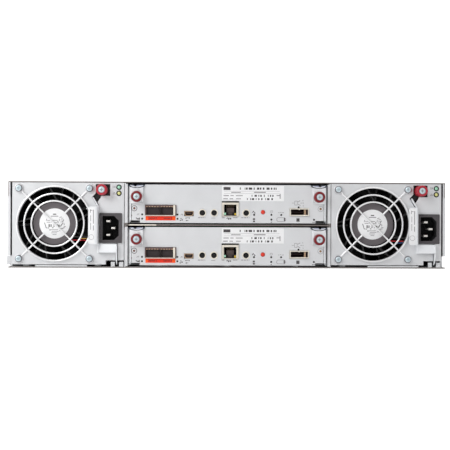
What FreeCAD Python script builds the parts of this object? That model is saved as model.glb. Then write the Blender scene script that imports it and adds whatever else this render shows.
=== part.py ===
"""Two-unit rack enclosure for a disk array, in millimetres.

The service side, with two fan-cooled power modules and two controller modules, faces -Y.
The drive side, with twelve covered 3.5 inch bays, faces +Y. +Z is up and the part rests on z = 0.
Every piece is a solid of its own; pieces of one kind on one body share a node as a group.
"""
import math
import os

import FreeCAD
import Part

V = FreeCAD.Vector

# ---- driving dimensions: chassis -------------------------------------------------------
chassis_depth = 580.0          # sheet metal only, without handles
sheet = 1.2                    # tray, panels and walls
cover_sheet = 1.0
cover_flange = 14.5            # how far the cover wraps down the sides
hem_width = 2.4                # folded edge of a side wall at the service side
hem_depth = 12.0
seat_gap = 0.3                 # between a piece and what carries it
slide_gap = 0.6                # beside a piece that slides
side_gap = 2.0                 # between a power module and the tray's wall
runner_width = 6.0
runner_rise = 1.9              # under the power modules
runner_ends = (8.0, 6.0)       # from the service side, and short of the modules' inner end
controller_runners = (-70.0, 0.0, 70.0)
controller_runner_rise = 1.2
corner_relief = 12.4           # height up to which the side wall stands back
lug_reach = 3.4                # locating lug beside the tray, on its left only
lug_span = (2.6, 11.8)

# rack ears
ear_reach = 17.8               # beyond the cover on each side
ear_sheet = 2.0
ear_leg = 40.0
ear_corner = 3.0
rack_hole_inset = 8.75         # hole centres from the ear's edge
rack_hole_margin = 5.9         # hole centres from the underside and the top
rack_slot_length = 10.0
rack_slot_width = 6.8

# module bays
module_depth = 350.0
midplane_thickness = 2.4
midplane_gap = 9.0             # between the modules' backs and the midplane
window_size = (24.0, 9.0, 18.0)       # width, height of the lower row, height of the upper row
window_side = 28.0             # window's middle from a bay's middle
divider_lip = 2.0              # folded edge of a divider, towards the controllers

# power module
fan_headroom = 3.3             # module's height beyond its fan's
fan_margin = 2.7               # beside the fan, on the module's left
right_margin = 1.95            # between the inlet's flange and the module's right side
case_wall = 1.0
panel_return = 6.0             # folded edges of a panel
fan_size = 80.0
fan_depth = 38.0
fan_corner = 4.0
fan_flange = 5.0               # thickness of the mounting flanges
fan_waist = 0.9                # how far the sides stand back between the flanges
fan_hole_inset = 4.25          # from the frame's sides
fan_hole_radius = 1.8
fan_opening_inset = 3.0        # edge of the panel's opening inside the frame's side
fan_bore_inset = 2.0
fan_hub_radius = 21.8
fan_vanes = 9                  # fixed vanes between the motor seat and the frame
fan_vane_sweep = 19.0
fan_vane_depth = 7.0
fan_blades = 7
blade_tip_gap = 0.9
shaft_radius = 1.5
shaft_clearance = 0.05
guard_wire = 0.95              # radius of the guard's wire
guard_ring_gaps = (1.2, 0.8)   # inner ring outside the hub, outer ring outside the opening
guard_eye_radius = 3.9
guard_stub = 14.5              # free end of the two short legs, from the fan's axis
key_width = 18.3               # relief along the module's lower right edge
key_height = 4.3
inlet_gap = 0.35               # between the lever's web and the inlet's flange
inlet_rise = 37.2              # inlet centre above the module's underside
inlet_flange = (22.9, 30.4, 2.0)
inlet_body = (20.0, 27.4, 24.0)
inlet_recess = (16.4, 24.4, 16.5)
inlet_chamfer = 4.6
inlet_blade = (4.0, 2.0, 15.0)
inlet_blade_pitch = 7.0
inlet_blade_stagger = 5.0
lamp_inset = 5.1               # from the module's right side
lamp_drops = (4.5, 10.7)       # below the module's top
lamp_radius = 2.7
lens_radius = 1.75

# captive screws
cap_radius = 5.6
cap_bore = 3.45
power_cap_reach = 11.0         # front of a power module's cap, ahead of the panel
controller_cap_reach = 9.0
screw_shank = 2.0

# power module's release lever
lever_sheet = 1.2
grip_lap = 4.7                 # how far the strip overlaps the fan
grip_width = 10.1
grip_bend = 3.0                # outer radius of the fold between strip and web
grip_drop = 17.1               # top of the strip below the release screw
grip_reach = 10.0
foot_gap = 1.0                 # between the foot and the inlet's flange
foot_height = 9.0
foot_reach = 4.6
lever_arm_inset = 7.3          # arm from the module's right side
lever_pivot_radius = 1.5
lever_pivot_depth = 6.5
lever_pivot_rise = 4.3         # above the relief
toe_radius = 10.1              # the arm's foot stays inside this radius about its pin
screw_side = 3.2               # release screw from the web
screw_drop = 7.3               # release screw below the module's top
ear_depth = 2.6                # how far the lever's ear lies behind the panel's face
neck_side = 9.3                # upper end of the slanted neck, beside and below the screw
neck_drop = 7.7
neck_play = 0.55

# controller module
controller_half = 101.3
controller_head_gaps = (1.5, 1.9)     # above the lower and the upper controller
latch_room = 3.0               # between a controller's panel and its tray's side
board_thickness = 1.6
board_rise = 5.0               # underside of the board above the module's underside
board_inset = 7.3              # beside the board
standoff_radius = 2.5
thumb_inset = 5.3              # captive screw from the panel's side
thumb_drop = 12.4              # captive screw below the panel's top
latch_arm = 1.2
latch_pivot_depth = 4.0
latch_pivot_rise = 7.3
latch_stand = 0.6              # latch plate in front of the panel
tray_gate_half = 60.0          # half of the opening in a tray's inner wall, for the board's plug
scoop_half = 8.4
scoop_drop = 4.0
button_radius = 2.1
button_travel = 1.0
button_offset = 35.9
button_rise = 11.3

# controller's sockets: low and high distance from the middle, low and high above the underside
cage_opening = (-84.4, -52.9, 7.4, 18.3)
service_opening = (-44.4, -35.2, 7.2, 12.0)
network_opening = (-6.1, 11.1, 6.8, 22.2)
expansion_opening = (63.4, 82.9, 7.6, 15.3)
port_gap = 0.25
cage_depth = 50.0              # transceiver cage behind the panel's face, and its closed end
cage_back = 4.0
jack_offsets = (-26.1, -14.1, 18.7)
jack_rise = 10.4
jack_radius = 3.7
jack_wall = 0.8

# drive bays
bay_columns = 4
bay_rows = 3
cage_wall = 1.2
ledge_width = 3.0
ledge_thickness = 1.0
blank_arm = 64.0               # how far a blank's arms reach into its bay
blank_arm_thickness = 1.6
blank_proud = 1.5              # face beyond the ears
blank_slots = 9
blank_slot_width = 4.2
blank_slot_pitch = 8.2
blank_face = 3.0
blank_grip = 6.0

# boards: each part's width, depth and height, and its place from the board's front left corner
power_board_start = 52.0
power_board_rise = 9.0
power_board_inset = 4.0
transformer = (42.0, 40.0, 38.0)
transformer_place = (30.0, 110.0)
capacitor_radius = 12.5
capacitor_height = 46.0
capacitor_places = (18.0, 48.0, 78.0)
capacitor_depth = 60.0
sink_plate = (3.0, 44.0)
sink_ends = (90.0, 60.0)
power_plug = (60.0, 12.0)      # width and height
power_plug_rise = 36.6         # middle above the module's underside
controller_plug = (110.0, 9.0)
cooler_place = (-30.0, 120.0)
cooler_depth = 50.0
cooler_base = 4.0
cooler_height = 22.0
cooler_fins = 9
fin_pitch = 6.0
fin_thickness = 1.6
battery = (40.0, 130.0, 20.0)
battery_place = (40.0, 90.0)
memory = (4.0, 130.0, 26.0)
memory_places = (-80.0, -71.0)
memory_depth = 110.0
plug_depth = 20.0

# ---- derived sizes ----------------------------------------------------------------------
power_height = fan_size + fan_headroom
power_low = sheet + runner_rise + seat_gap
power_top = power_low + power_height
cover_under = power_top + seat_gap
chassis_height = cover_under + cover_sheet
fan_offset = fan_margin + fan_size / 2
fan_hole_pitch = fan_size - 2 * fan_hole_inset
fan_opening_radius = fan_size / 2 - fan_opening_inset
fan_bore_radius = fan_size / 2 - fan_bore_inset
inner_ring, outer_ring = fan_hub_radius + guard_ring_gaps[0], fan_opening_radius + guard_ring_gaps[1]
guard_ring_radii = (inner_ring, (inner_ring + outer_ring) / 2, outer_ring)
grip_left = fan_margin + fan_size - grip_lap
grip_right = grip_left + grip_width
inlet_offset = grip_right + inlet_gap + inlet_flange[0] / 2
inlet_height = power_low + inlet_rise
power_width = inlet_offset + inlet_flange[0] / 2 + right_margin
lamp_offset = power_width - lamp_inset
lamp_heights = [power_top - drop for drop in lamp_drops]
lever_arm_offset = power_width - lever_arm_inset
lever_pivot_height = power_low + key_height + lever_pivot_rise
power_screw_offset = grip_right + screw_side
power_screw_height = power_top - screw_drop
foot_top = inlet_height - inlet_flange[1] / 2 - foot_gap
foot_low = foot_top - foot_height
grip_low = foot_top - 0.2
grip_high = power_screw_height - grip_drop
neck_low = (grip_right - 0.7, grip_high + 0.1)
neck_high = (power_screw_offset - neck_side, power_screw_height - neck_drop)
power_plug_height = power_low + power_plug_rise
divider_inner = controller_half + slide_gap + seat_gap + divider_lip
power_inner = divider_inner + sheet + slide_gap
tray_inner = power_inner + power_width + side_gap
tray_outer = tray_inner + sheet
half = tray_outer + cover_sheet
chassis_width = 2 * half
ear_span = chassis_width + 2 * ear_reach
rack_hole_span = ear_span - 2 * rack_hole_inset
rack_hole_rise = chassis_height - 2 * rack_hole_margin
power_left = {"left": -(power_inner + power_width), "right": power_inner}
controller_low = sheet + controller_runner_rise + seat_gap
shelf_room = controller_head_gaps[0] + sheet + controller_runner_rise + seat_gap
controller_height = (cover_under - controller_low - shelf_room - controller_head_gaps[1]) / 2
controller_pitch = controller_height + shelf_room
controller_level = {"lower": controller_low, "upper": controller_low + controller_pitch}
controller_panel_half = controller_half - latch_room
thumb_offset = controller_panel_half - thumb_inset
thumb_rise = controller_height - thumb_drop
shelf_top = controller_level["upper"] - seat_gap - controller_runner_rise
shelf_low = shelf_top - sheet
rear_reach = max(grip_reach, power_cap_reach, controller_cap_reach)
y_rear = -(chassis_depth + rear_reach + blank_grip) / 2 + rear_reach
y_front = y_rear + chassis_depth
y_back = y_rear + module_depth           # inner end of every module
y_mid = y_back + midplane_gap            # service face of the midplane
y_cage = y_mid + midplane_thickness
runner_start, runner_stop = y_rear + runner_ends[0], y_back - runner_ends[1]
bay_height = (cover_under - sheet) / bay_rows
bay_pitch = 2 * tray_inner / bay_columns


def box(x0, x1, y0, y1, z0, z1):
    """Box between two corners, given in any order."""
    lo = [min(a, b) for a, b in ((x0, x1), (y0, y1), (z0, z1))]
    hi = [max(a, b) for a, b in ((x0, x1), (y0, y1), (z0, z1))]
    return Part.makeBox(hi[0] - lo[0], hi[1] - lo[1], hi[2] - lo[2], V(*lo))


def rod(x, y, z, radius, length, axis):
    """Cylinder from a point, along an axis."""
    return Part.makeCylinder(radius, length, V(x, y, z), V(*axis))


def across(x, z, radius, y0, y1):
    """Cylinder along Y between two depths."""
    return Part.makeCylinder(radius, abs(y1 - y0), V(x, min(y0, y1), z), V(0, 1, 0))


def slab_y(points, y0, y1):
    """Outline in X and Z, given depth along Y."""
    low = min(y0, y1)
    wire = Part.makePolygon([V(x, low, z) for x, z in points + points[:1]])
    return Part.Face(wire).extrude(V(0, abs(y1 - y0), 0))


def slab_x(points, x0, x1):
    """Outline in Y and Z, given width along X."""
    low = min(x0, x1)
    wire = Part.makePolygon([V(low, y, z) for y, z in points + points[:1]])
    return Part.Face(wire).extrude(V(abs(x1 - x0), 0, 0))


def joined(shapes):
    """One solid from shapes that touch or overlap."""
    whole = shapes[0].multiFuse(shapes[1:]) if len(shapes) > 1 else shapes[0]
    return whole.removeSplitter()


def less(shape, tools):
    """The shape without the tools."""
    return shape.cut(Part.makeCompound(tools)) if tools else shape


def soft_edges(shape, radius, wanted):
    """Rounds the edges that the test picks."""
    edges = [e for e in shape.Edges if wanted(e)]
    return shape.makeFillet(radius, edges) if edges else shape


def along(edge, axis):
    """True for a straight edge along an axis, 0 for X to 2 for Z."""
    if not isinstance(edge.Curve, (Part.Line, Part.LineSegment)):
        return False
    step = edge.Vertexes[-1].Point - edge.Vertexes[0].Point
    return abs(abs(step[axis]) - step.Length) < 1e-6


def mirrored(shape):
    """The same piece on the other side of the YZ plane."""
    return shape.mirror(V(0, 0, 0), V(1, 0, 0))


def export(name, solids):
    """Writes one node's solids."""
    flat = [s for shape in solids for s in shape.Solids]
    for solid in flat:
        if not solid.isValid() or solid.Volume <= 0:
            raise RuntimeError(name + " has a bad solid")
    Part.makeCompound(flat).exportStep(os.path.join("parts", name + ".step"))


# ---- chassis ----------------------------------------------------------------------------
cover_rear_row = 30.0           # outer rows of the cover's screws from the chassis ends
cover_front_row = 60.0
cover_screw_rows = [y_rear + cover_rear_row, y_rear + chassis_depth * 0.36,
                    y_rear + chassis_depth * 0.68, y_front - cover_front_row]
cover_screw_height = cover_under - cover_flange / 2
cover_screw_head = 2.6
cover_screw_shank = 1.4


def power_key(side):
    """The relief that keys a power module to its bay: low and high X, and its top."""
    right = power_left[side] + power_width
    return right - key_width, right, power_low + key_height


def chassis_tray():
    """Floor and side walls with their hems, the locating lug, the modules' runners and the catches."""
    floor = box(-tray_outer, tray_outer, y_rear, y_front, 0, sheet)
    pieces = [floor]
    for side in (-1, 1):
        wall = box(side * tray_inner, side * tray_outer, y_rear, y_front, 0, cover_under)
        hem_inner = half - hem_width
        hem = box(side * hem_inner, side * half, y_rear, y_rear + hem_depth, 0, cover_under - cover_flange)
        pieces += [wall, hem]
    # locating lug on one side only
    lug = y_rear + hem_depth
    pieces.append(box(-tray_inner, -(half + lug_reach), lug, lug + sheet, *lug_span))
    # runners under the modules
    for side in ("left", "right"):
        start = power_left[side]
        for offset in (10.0, power_width * 0.5, power_width - key_width - 12.0):
            pieces.append(box(start + offset, start + offset + runner_width, runner_start, runner_stop,
                              sheet, sheet + runner_rise))
        # catches that the lever works against, one each side of its arm
        key_left, key_right, key_top = power_key(side)
        catch_top = key_top - 1.6
        arm = start + lever_arm_offset
        for lo, hi in ((key_left + 5.1, arm - 2.0), (arm + 2.4, key_right - 0.5)):
            pieces.append(box(lo, hi, y_rear + 0.8, y_rear + 0.8 + sheet, sheet, catch_top))
    for x in controller_runners:
        pieces.append(box(x - runner_width / 2, x + runner_width / 2, runner_start, runner_stop,
                          sheet, controller_low - seat_gap))
    tray = joined(pieces)
    cuts = []
    for side in (-1, 1):
        # the side wall stands back at the lower corner of the service side
        cuts.append(box(side * (half - hem_width - 1), side * (half + 1),
                        y_rear - 1, y_rear + hem_depth - 0.01, sheet, corner_relief))
        for y in cover_screw_rows:
            cuts.append(rod(side * (tray_inner - 1), y, cover_screw_height, cover_screw_shank + 0.15,
                            sheet + 2, (side, 0, 0)))
    return [less(tray, cuts)]


def top_cover():
    """Cover with its side flanges and their screw holes."""
    top = box(-half, half, y_rear + 1.0, y_front - ear_sheet - 0.2, cover_under, chassis_height)
    flanges = [box(s * tray_outer, s * half, y_rear + 1.0, y_front - ear_sheet - 0.2,
                   cover_under - cover_flange, chassis_height) for s in (-1, 1)]
    cover = joined([top] + flanges)
    holes = [rod(s * (tray_outer - 0.5), y, cover_screw_height, cover_screw_head + 0.1,
                 cover_sheet + 1, (s, 0, 0)) for s in (-1, 1) for y in cover_screw_rows]
    return [less(cover, holes)]


def cover_screws():
    """Flush screws through the cover's flanges, ending inside the tray's walls."""
    found = []
    for s in (-1, 1):
        for y in cover_screw_rows:
            head = rod(s * tray_outer, y, cover_screw_height, cover_screw_head, cover_sheet, (s, 0, 0))
            shank = rod(s * (tray_inner + 0.1), y, cover_screw_height, cover_screw_shank, sheet, (s, 0, 0))
            found.append(joined([head, shank]))
    return found


def rack_ears():
    """The two front flanges with their slots; their legs lie against the tray's walls."""
    leg_top = cover_under - cover_flange - 1.0
    ears = []
    for s in (-1, 1):
        flange = box(s * tray_outer, s * ear_span / 2, y_front - ear_sheet, y_front,
                     0.4, chassis_height - 0.4)
        leg = box(s * tray_outer, s * (tray_outer + ear_sheet), y_front - ear_leg, y_front, 2.0, leg_top)
        ear = joined([flange, leg])
        ear = soft_edges(ear, ear_corner,
                         lambda e: along(e, 1) and abs(abs(e.CenterOfMass.x) - ear_span / 2) < 0.01)
        cuts = []
        run = (rack_slot_length - rack_slot_width) / 2
        for z in (chassis_height / 2 - rack_hole_rise / 2, chassis_height / 2 + rack_hole_rise / 2):
            x = s * rack_hole_span / 2
            y0, y1 = y_front - ear_sheet - 1, y_front + 1
            radius = rack_slot_width / 2
            cuts.append(joined([across(x - run, z, radius, y0, y1), across(x + run, z, radius, y0, y1),
                                box(x - run, x + run, y0, y1, z - radius, z + radius)]))
        ears.append(less(ear, cuts))
    return ears


def bay_dividers():
    """Walls between the module bays, and the shelf that carries the upper controller."""
    solids = []
    wall_high = cover_under - seat_gap
    for s in (-1, 1):
        wall = box(s * divider_inner, s * (divider_inner + sheet), y_rear + 0.2, y_mid, sheet, wall_high)
        lips = [box(s * divider_inner, s * (divider_inner - divider_lip), y_rear + 0.2, y_rear + 0.2 + sheet,
                    low, high)
                for low, high in ((sheet + 0.6, shelf_low - 0.6), (shelf_top + 0.6, wall_high - 1))]
        solids.append(joined([wall] + lips))
    shelf = box(-divider_inner, divider_inner, y_rear + 0.6, y_mid, shelf_low, shelf_top)
    runners = [box(x - runner_width / 2, x + runner_width / 2, runner_start, runner_stop,
                   shelf_top, controller_level["upper"] - seat_gap) for x in controller_runners]
    solids.append(joined([shelf] + runners))
    return solids


def column_centres():
    """X of the drive bays' middles."""
    return [(-0.5 * bay_columns + 0.5 + i) * bay_pitch for i in range(bay_columns)]


def row_levels():
    """Undersides of the drive bays."""
    return [sheet + i * bay_height for i in range(bay_rows)]


def drive_cage():
    """Upright walls of the drive cage, each with the ledges that carry the drives."""
    solids = []
    y0, y1 = y_cage, y_front - 0.5
    for i in range(bay_columns + 1):
        x = -tray_inner + i * bay_pitch
        if i == 0:
            lo, hi = x, x + cage_wall
        elif i == bay_columns:
            lo, hi = x - cage_wall, x
        else:
            lo, hi = x - cage_wall / 2, x + cage_wall / 2
        pieces = [box(lo, hi, y0, y1, sheet, cover_under)]
        for level in row_levels()[1:]:
            if i > 0:
                pieces.append(box(lo - ledge_width, lo, y0 + 6, y1 - 12, level - ledge_thickness, level))
            if i < bay_columns:
                pieces.append(box(hi, hi + ledge_width, y0 + 6, y1 - 12, level - ledge_thickness, level))
        solids.append(joined(pieces))
    return solids


def midplane_board():
    """Board between the modules and the drives, with windows for the air."""
    low, high = sheet, cover_under - seat_gap
    board = box(-tray_inner + 1.5, tray_inner - 1.5, y_mid, y_cage, low, high)
    wide, low_row, high_row = window_size
    low_z, high_z = power_plug_height - 13.0, cover_under - 13.0
    windows = []
    for x in [c + d for c in column_centres() for d in (-window_side, window_side)]:
        for z, tall in ((low_z, low_row), (high_z, high_row)):
            windows.append(box(x - wide / 2, x + wide / 2, y_mid - 1, y_cage + 1,
                               z - tall / 2, z + tall / 2))
    return [less(board, windows)]


def midplane_connectors():
    """Sockets for the drives on one face, and for the modules on the other."""
    solids = []
    for x in column_centres():
        for level in row_levels():
            z = level + bay_height * 0.5
            shell = box(x - 13, x + 13, y_cage, y_cage + 8.5, z - 3, z + 3)
            slot = box(x - 11.5, x + 11.5, y_cage + 3, y_cage + 9, z - 1.2, z + 1.2)
            solids.append(shell.cut(slot))
    y0 = y_mid - midplane_gap + 1.0
    wide, tall = power_plug
    for side in ("left", "right"):
        x, low = power_left[side] + power_width * 0.5, power_plug_height - tall / 2
        solids.append(box(x - wide / 2, x + wide / 2, y0, y_mid, low, low + tall))
    wide, tall = controller_plug
    for which in ("lower", "upper"):
        z = controller_level[which] + board_rise + board_thickness + 1
        solids.append(box(-wide / 2, wide / 2, y0, y_mid, z, z + tall))
    return solids


# ---- power module -----------------------------------------------------------------------
def neck_line():
    """Middle line of the lever's neck: start, direction, and the direction across it."""
    du, dz = neck_high[0] - neck_low[0], neck_high[1] - neck_low[1]
    long = math.hypot(du, dz)
    return neck_low, (du / long, dz / long), (dz / long, -du / long), long


def neck_point(run, side):
    """A point so far along the neck and so far across it."""
    (u, z), (du, dz), (nu, nz), _ = neck_line()
    return u + run * du + side * nu, z + run * dz + side * nz


def opening_outline(left):
    """Opening for the release screw: a window, a diamond below it, and a slanted slot for the neck."""
    long = neck_line()[3]
    clear = lever_sheet / 2 + neck_play
    u, z = power_screw_offset, power_screw_height
    points = [(u - 6.7, z + 5.9), (u + 7.9, z + 5.9), (u + 7.9, z - 6.0), (u - 1.0, z - 6.0),
              (u - 2.2, z - 8.8),
              neck_point(4.4, clear), neck_point(1.2, clear), neck_point(1.2, -clear),
              neck_point(long + 0.7, -clear), (u - 6.7, z - 3.2)]
    return [(left + u, z) for u, z in points]


def power_panel(side):
    """Folded panel with its openings, the lever's hinge lugs and the release screw's tapped tab."""
    left = power_left[side]
    right = left + power_width
    yf = y_rear
    fan_x, fan_z = left + fan_offset, power_low + power_height / 2
    face = box(left, right, yf, yf + sheet, power_low, power_top)
    returns = [
        box(left, left + sheet, yf, yf + panel_return, power_low, power_top),
        box(right - sheet, right, yf, yf + panel_return, power_low + key_height, power_top),
        box(left, right, yf, yf + panel_return, power_top - sheet, power_top),
        box(left, right - key_width, yf, yf + panel_return, power_low, power_low + sheet),
    ]
    arm = left + lever_arm_offset
    key_left, _, key_top = power_key(side)
    # lugs behind the slot, which hold the lever's pin
    pivot_y, pivot_z = yf + lever_pivot_depth, lever_pivot_height
    for x in (arm - lever_sheet / 2 - 0.5 - sheet, arm + lever_sheet / 2 + 0.5):
        lug = box(x, x + sheet, yf, pivot_y + 3.2, key_top + 1.3, pivot_z + 4.6)
        returns.append(lug)
    # hanging tab behind the opening, threaded for the captive screw
    middle, tab_low = left + power_screw_offset, power_screw_height - 6.4
    returns.append(box(middle - 8.1, middle + 9.1, yf + panel_return - 1.0, yf + panel_return,
                       tab_low, power_top))
    panel = joined([face] + returns)
    cuts = [across(fan_x, fan_z, fan_opening_radius, yf - 1, yf + sheet + 1)]
    for sx in (-1, 1):
        for sz in (-1, 1):
            cuts.append(across(fan_x + sx * fan_hole_pitch / 2, fan_z + sz * fan_hole_pitch / 2, 2.15,
                               yf - 1, yf + sheet + 1))
    bw, bh, _ = inlet_body
    ix = left + inlet_offset
    cuts.append(box(ix - bw / 2 - 0.2, ix + bw / 2 + 0.2, yf - 1, yf + sheet + 1,
                    inlet_height - bh / 2 - 0.2, inlet_height + bh / 2 + 0.2))
    cuts.append(slab_y(opening_outline(left), yf - 1, yf + sheet + 0.01))
    slot_half = lever_sheet / 2 + 0.5
    slot_top = inlet_height - inlet_flange[1] / 2 - 0.4
    cuts.append(box(arm - slot_half, arm + slot_half, yf - 1, yf + sheet + 0.01, 0, slot_top))
    cuts.append(box(key_left, right + 1, yf - 1, yf + panel_return + 1, 0, key_top))
    for z in lamp_heights:
        cuts.append(across(left + lamp_offset, z, lamp_radius + 0.1, yf - 1, yf + sheet + 0.01))
    for x in (arm - slot_half - sheet - 1, arm + slot_half - 1):
        cuts.append(rod(x, pivot_y, pivot_z, lever_pivot_radius + shaft_clearance, sheet + 2, (1, 0, 0)))
    cuts.append(across(left + power_screw_offset, power_screw_height, screw_shank - 0.3,
                       yf + 4, yf + panel_return + 1))
    return [less(panel, cuts)]


def power_case(side):
    left = power_left[side]
    right = left + power_width
    key_left, _, key_top = power_key(side)
    y0 = y_rear + panel_return
    wall = case_wall

    def profile(inset):
        return [(left + inset, power_low + inset), (key_left - inset, power_low + inset),
                (key_left - inset, key_top + inset), (right - inset, key_top + inset),
                (right - inset, power_top - inset), (left + inset, power_top - inset)]

    shell = slab_y(profile(0), y0, y_back)
    inside = slab_y(profile(wall), y0 - 1, y_back - wall)
    cuts = [inside]
    mid_x = left + power_width * 0.5
    half_wide, half_tall = power_plug[0] / 2 + 4, power_plug[1] / 2 + 2
    cuts.append(box(mid_x - half_wide, mid_x + half_wide, y_back - wall - 1, y_back + 1,
                    power_plug_height - half_tall, power_plug_height + half_tall))
    for k in range(8):
        z = power_top - 31.3 + 3.6 * k
        cuts.append(box(left + 14, right - 14, y_back - wall - 1, y_back + 1, z, z + 1.8))
    # room in the key's roof for the lever's foot to swing through
    arm = left + lever_arm_offset
    cuts.append(box(arm - 2.2, arm + 2.2, y0 - 1, y_rear + 20, key_top - 0.5, key_top + wall + 0.5))
    return [less(shell, cuts)]


def fan_frame(side):
    """Square fan body with a round bore, a motor seat on four curved arms, and the motor's bearing tube."""
    left = power_left[side]
    x, z = left + fan_offset, power_low + power_height / 2
    y0 = y_rear + sheet
    body = box(x - fan_size / 2, x + fan_size / 2, y0, y0 + fan_depth, z - fan_size / 2, z + fan_size / 2)
    body = soft_edges(body, fan_corner, lambda e: along(e, 1))
    cuts = [across(x, z, fan_bore_radius, y0 - 1, y0 + fan_depth + 1)]
    # the four sides are waisted between the mounting flanges
    for sx, sz in ((1, 0), (-1, 0), (0, 1), (0, -1)):
        px, pz = x + sx * fan_size / 2, z + sz * fan_size / 2
        wide, tall = (fan_waist if sx else fan_size * 0.3), (fan_waist if sz else fan_size * 0.3)
        cuts.append(box(px - wide, px + wide, y0 + fan_flange, y0 + fan_depth - fan_flange,
                        pz - tall, pz + tall))
    for sx in (-1, 1):
        for sz in (-1, 1):
            cuts.append(across(x + sx * fan_hole_pitch / 2, z + sz * fan_hole_pitch / 2, fan_hole_radius,
                               y0 - 1, y0 + fan_depth + 1))
    # room beside the right flange for the end of the lever's neck
    edge, head = x + fan_size / 2, neck_high[1]
    relief_back = y_rear + ear_depth + lever_sheet + 0.6
    cuts.append(box(edge - 1.9, edge + 1, y0 - 1, relief_back, head - 4.2, head + 2.8))
    frame = less(body, cuts)
    seat = across(x, z, fan_hub_radius, y0 + 1.0, y0 + 1.0 + fan_vane_depth)
    seat = seat.cut(across(x, z, fan_hub_radius - 2.0, y0 + 4.0, y0 + 2.0 + fan_vane_depth))
    tube = across(x, z, 5.0, y0 + 1.0, y0 + 20.0)
    arms = []
    for k in range(fan_vanes):
        inner = math.radians(360.0 * k / fan_vanes)
        outer = inner + math.radians(fan_vane_sweep)
        x0, z0 = (fan_hub_radius - 1.0) * math.cos(inner), (fan_hub_radius - 1.0) * math.sin(inner)
        x1, z1 = (fan_bore_radius + 0.7) * math.cos(outer), (fan_bore_radius + 0.7) * math.sin(outer)
        long = math.hypot(x1 - x0, z1 - z0)
        arm = box(0, long, y0 + 1.0, y0 + 1.0 + fan_vane_depth, -0.6, 0.6)
        arm.rotate(V(0, 0, 0), V(0, 1, 0), -math.degrees(math.atan2(z1 - z0, x1 - x0)))
        arm.translate(V(x + x0, 0, z + z0))
        arms.append(arm)
    whole = joined([frame, seat, tube] + arms)
    bore = across(x, z, shaft_radius + shaft_clearance, y0 + 2.4, y0 + 30.0)
    return [whole.cut(bore)]


def fan_rotor(side):
    """Cup hub on its shaft, with twisted blades."""
    left = power_left[side]
    x, z = left + fan_offset, power_low + power_height / 2
    y0 = y_rear + sheet
    hub_front = y0 + fan_vane_depth + 1.7
    hub_back = y0 + fan_depth - 4.0
    hub = across(x, z, fan_hub_radius, hub_front, hub_back)
    hollow = across(x, z, fan_hub_radius - 1.8, hub_front - 1, hub_back - 3.0)
    hub = hub.cut(hollow)
    shaft = across(x, z, shaft_radius, y0 + 3.2, hub_back - 1.0)
    pieces = [hub, shaft]
    tip = fan_bore_radius - blade_tip_gap
    root = fan_hub_radius - 0.6
    span = hub_back - hub_front - 3.0
    for k in range(fan_blades):
        turn = 360.0 * k / fan_blades
        sections = []
        for radius, pitch in ((root, 46.0), (tip, 30.0)):
            # a thin curved plate across the flow, steeper at the root
            half_chord = span / 2 / math.sin(math.radians(pitch + 8))
            rise = half_chord * math.sin(math.radians(pitch))
            run = half_chord * math.cos(math.radians(pitch))
            mid = (hub_front + hub_back) / 2 + 0.6
            thick = 0.9
            corners = [(mid - rise, -run - thick), (mid + rise, run - thick), (mid + rise, run + thick),
                       (mid - rise, -run + thick)]
            wire = Part.makePolygon([V(x + radius, y, z + t) for y, t in corners + corners[:1]])
            sections.append(wire)
        blade = Part.makeLoft(sections, True, True)
        blade.rotate(V(x, 0, z), V(0, 1, 0), turn)
        pieces.append(blade)
    rotor = joined(pieces)
    swept = across(x, z, tip, y0 + 3.1, hub_back + 1)
    rotor = rotor.common(swept)
    return [rotor]


def six_sided(centre_r, centre_y, radius):
    """Corners of a hexagonal wire section about a ring's line, as (radius, y)."""
    turns = [math.radians(60 * k + 30) for k in range(6)]
    return [(centre_r + radius * math.cos(turn), centre_y + radius * math.sin(turn)) for turn in turns]


def wire_ring(x, z, ring_radius, y, wire):
    """Closed wire ring about the Y direction."""
    corners = six_sided(ring_radius, y, wire)
    outline = Part.makePolygon([V(x + r, yy, z) for r, yy in corners + corners[:1]])
    return Part.Face(outline).revolve(V(x, 0, z), V(0, 1, 0), 360)


def wire_leg(x0, z0, x1, z1, y, wire):
    """Straight wire between two points of one plane."""
    length = math.hypot(x1 - x0, z1 - z0)
    turns = [math.radians(60 * k) for k in range(6)]
    corners = [(wire * math.cos(turn), wire * math.sin(turn)) for turn in turns]
    outline = Part.makePolygon([V(0, a, b) for a, b in corners + corners[:1]])
    leg = Part.Face(outline).extrude(V(length, 0, 0))
    leg.rotate(V(0, 0, 0), V(0, 1, 0), -math.degrees(math.atan2(z1 - z0, x1 - x0)))
    leg.translate(V(x0, y, z0))
    return leg


def finger_guard(side):
    """Three wire rings on four legs, two of them stopping short of the motor."""
    left = power_left[side]
    x, z = left + fan_offset, power_low + power_height / 2
    leg_y = y_rear - guard_wire
    ring_y = leg_y - guard_wire * 1.6
    pieces = [wire_ring(x, z, r, ring_y, guard_wire) for r in guard_ring_radii]
    corner = fan_hole_pitch / 2
    for sx, sz in ((-1, 1), (1, 1), (1, -1), (-1, -1)):
        eye_x, eye_z = x + sx * corner, z + sz * corner
        pieces.append(wire_ring(eye_x, eye_z, guard_eye_radius, leg_y, guard_wire))
        reach = (math.hypot(corner, corner) - guard_eye_radius) / math.hypot(corner, corner)
        inner = 0.0 if sx * sz < 0 else guard_stub / math.hypot(corner, corner)
        pieces.append(wire_leg(x + sx * corner * inner, z + sz * corner * inner,
                               x + sx * corner * reach, z + sz * corner * reach, leg_y, guard_wire))
    return [joined(pieces)]


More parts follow.
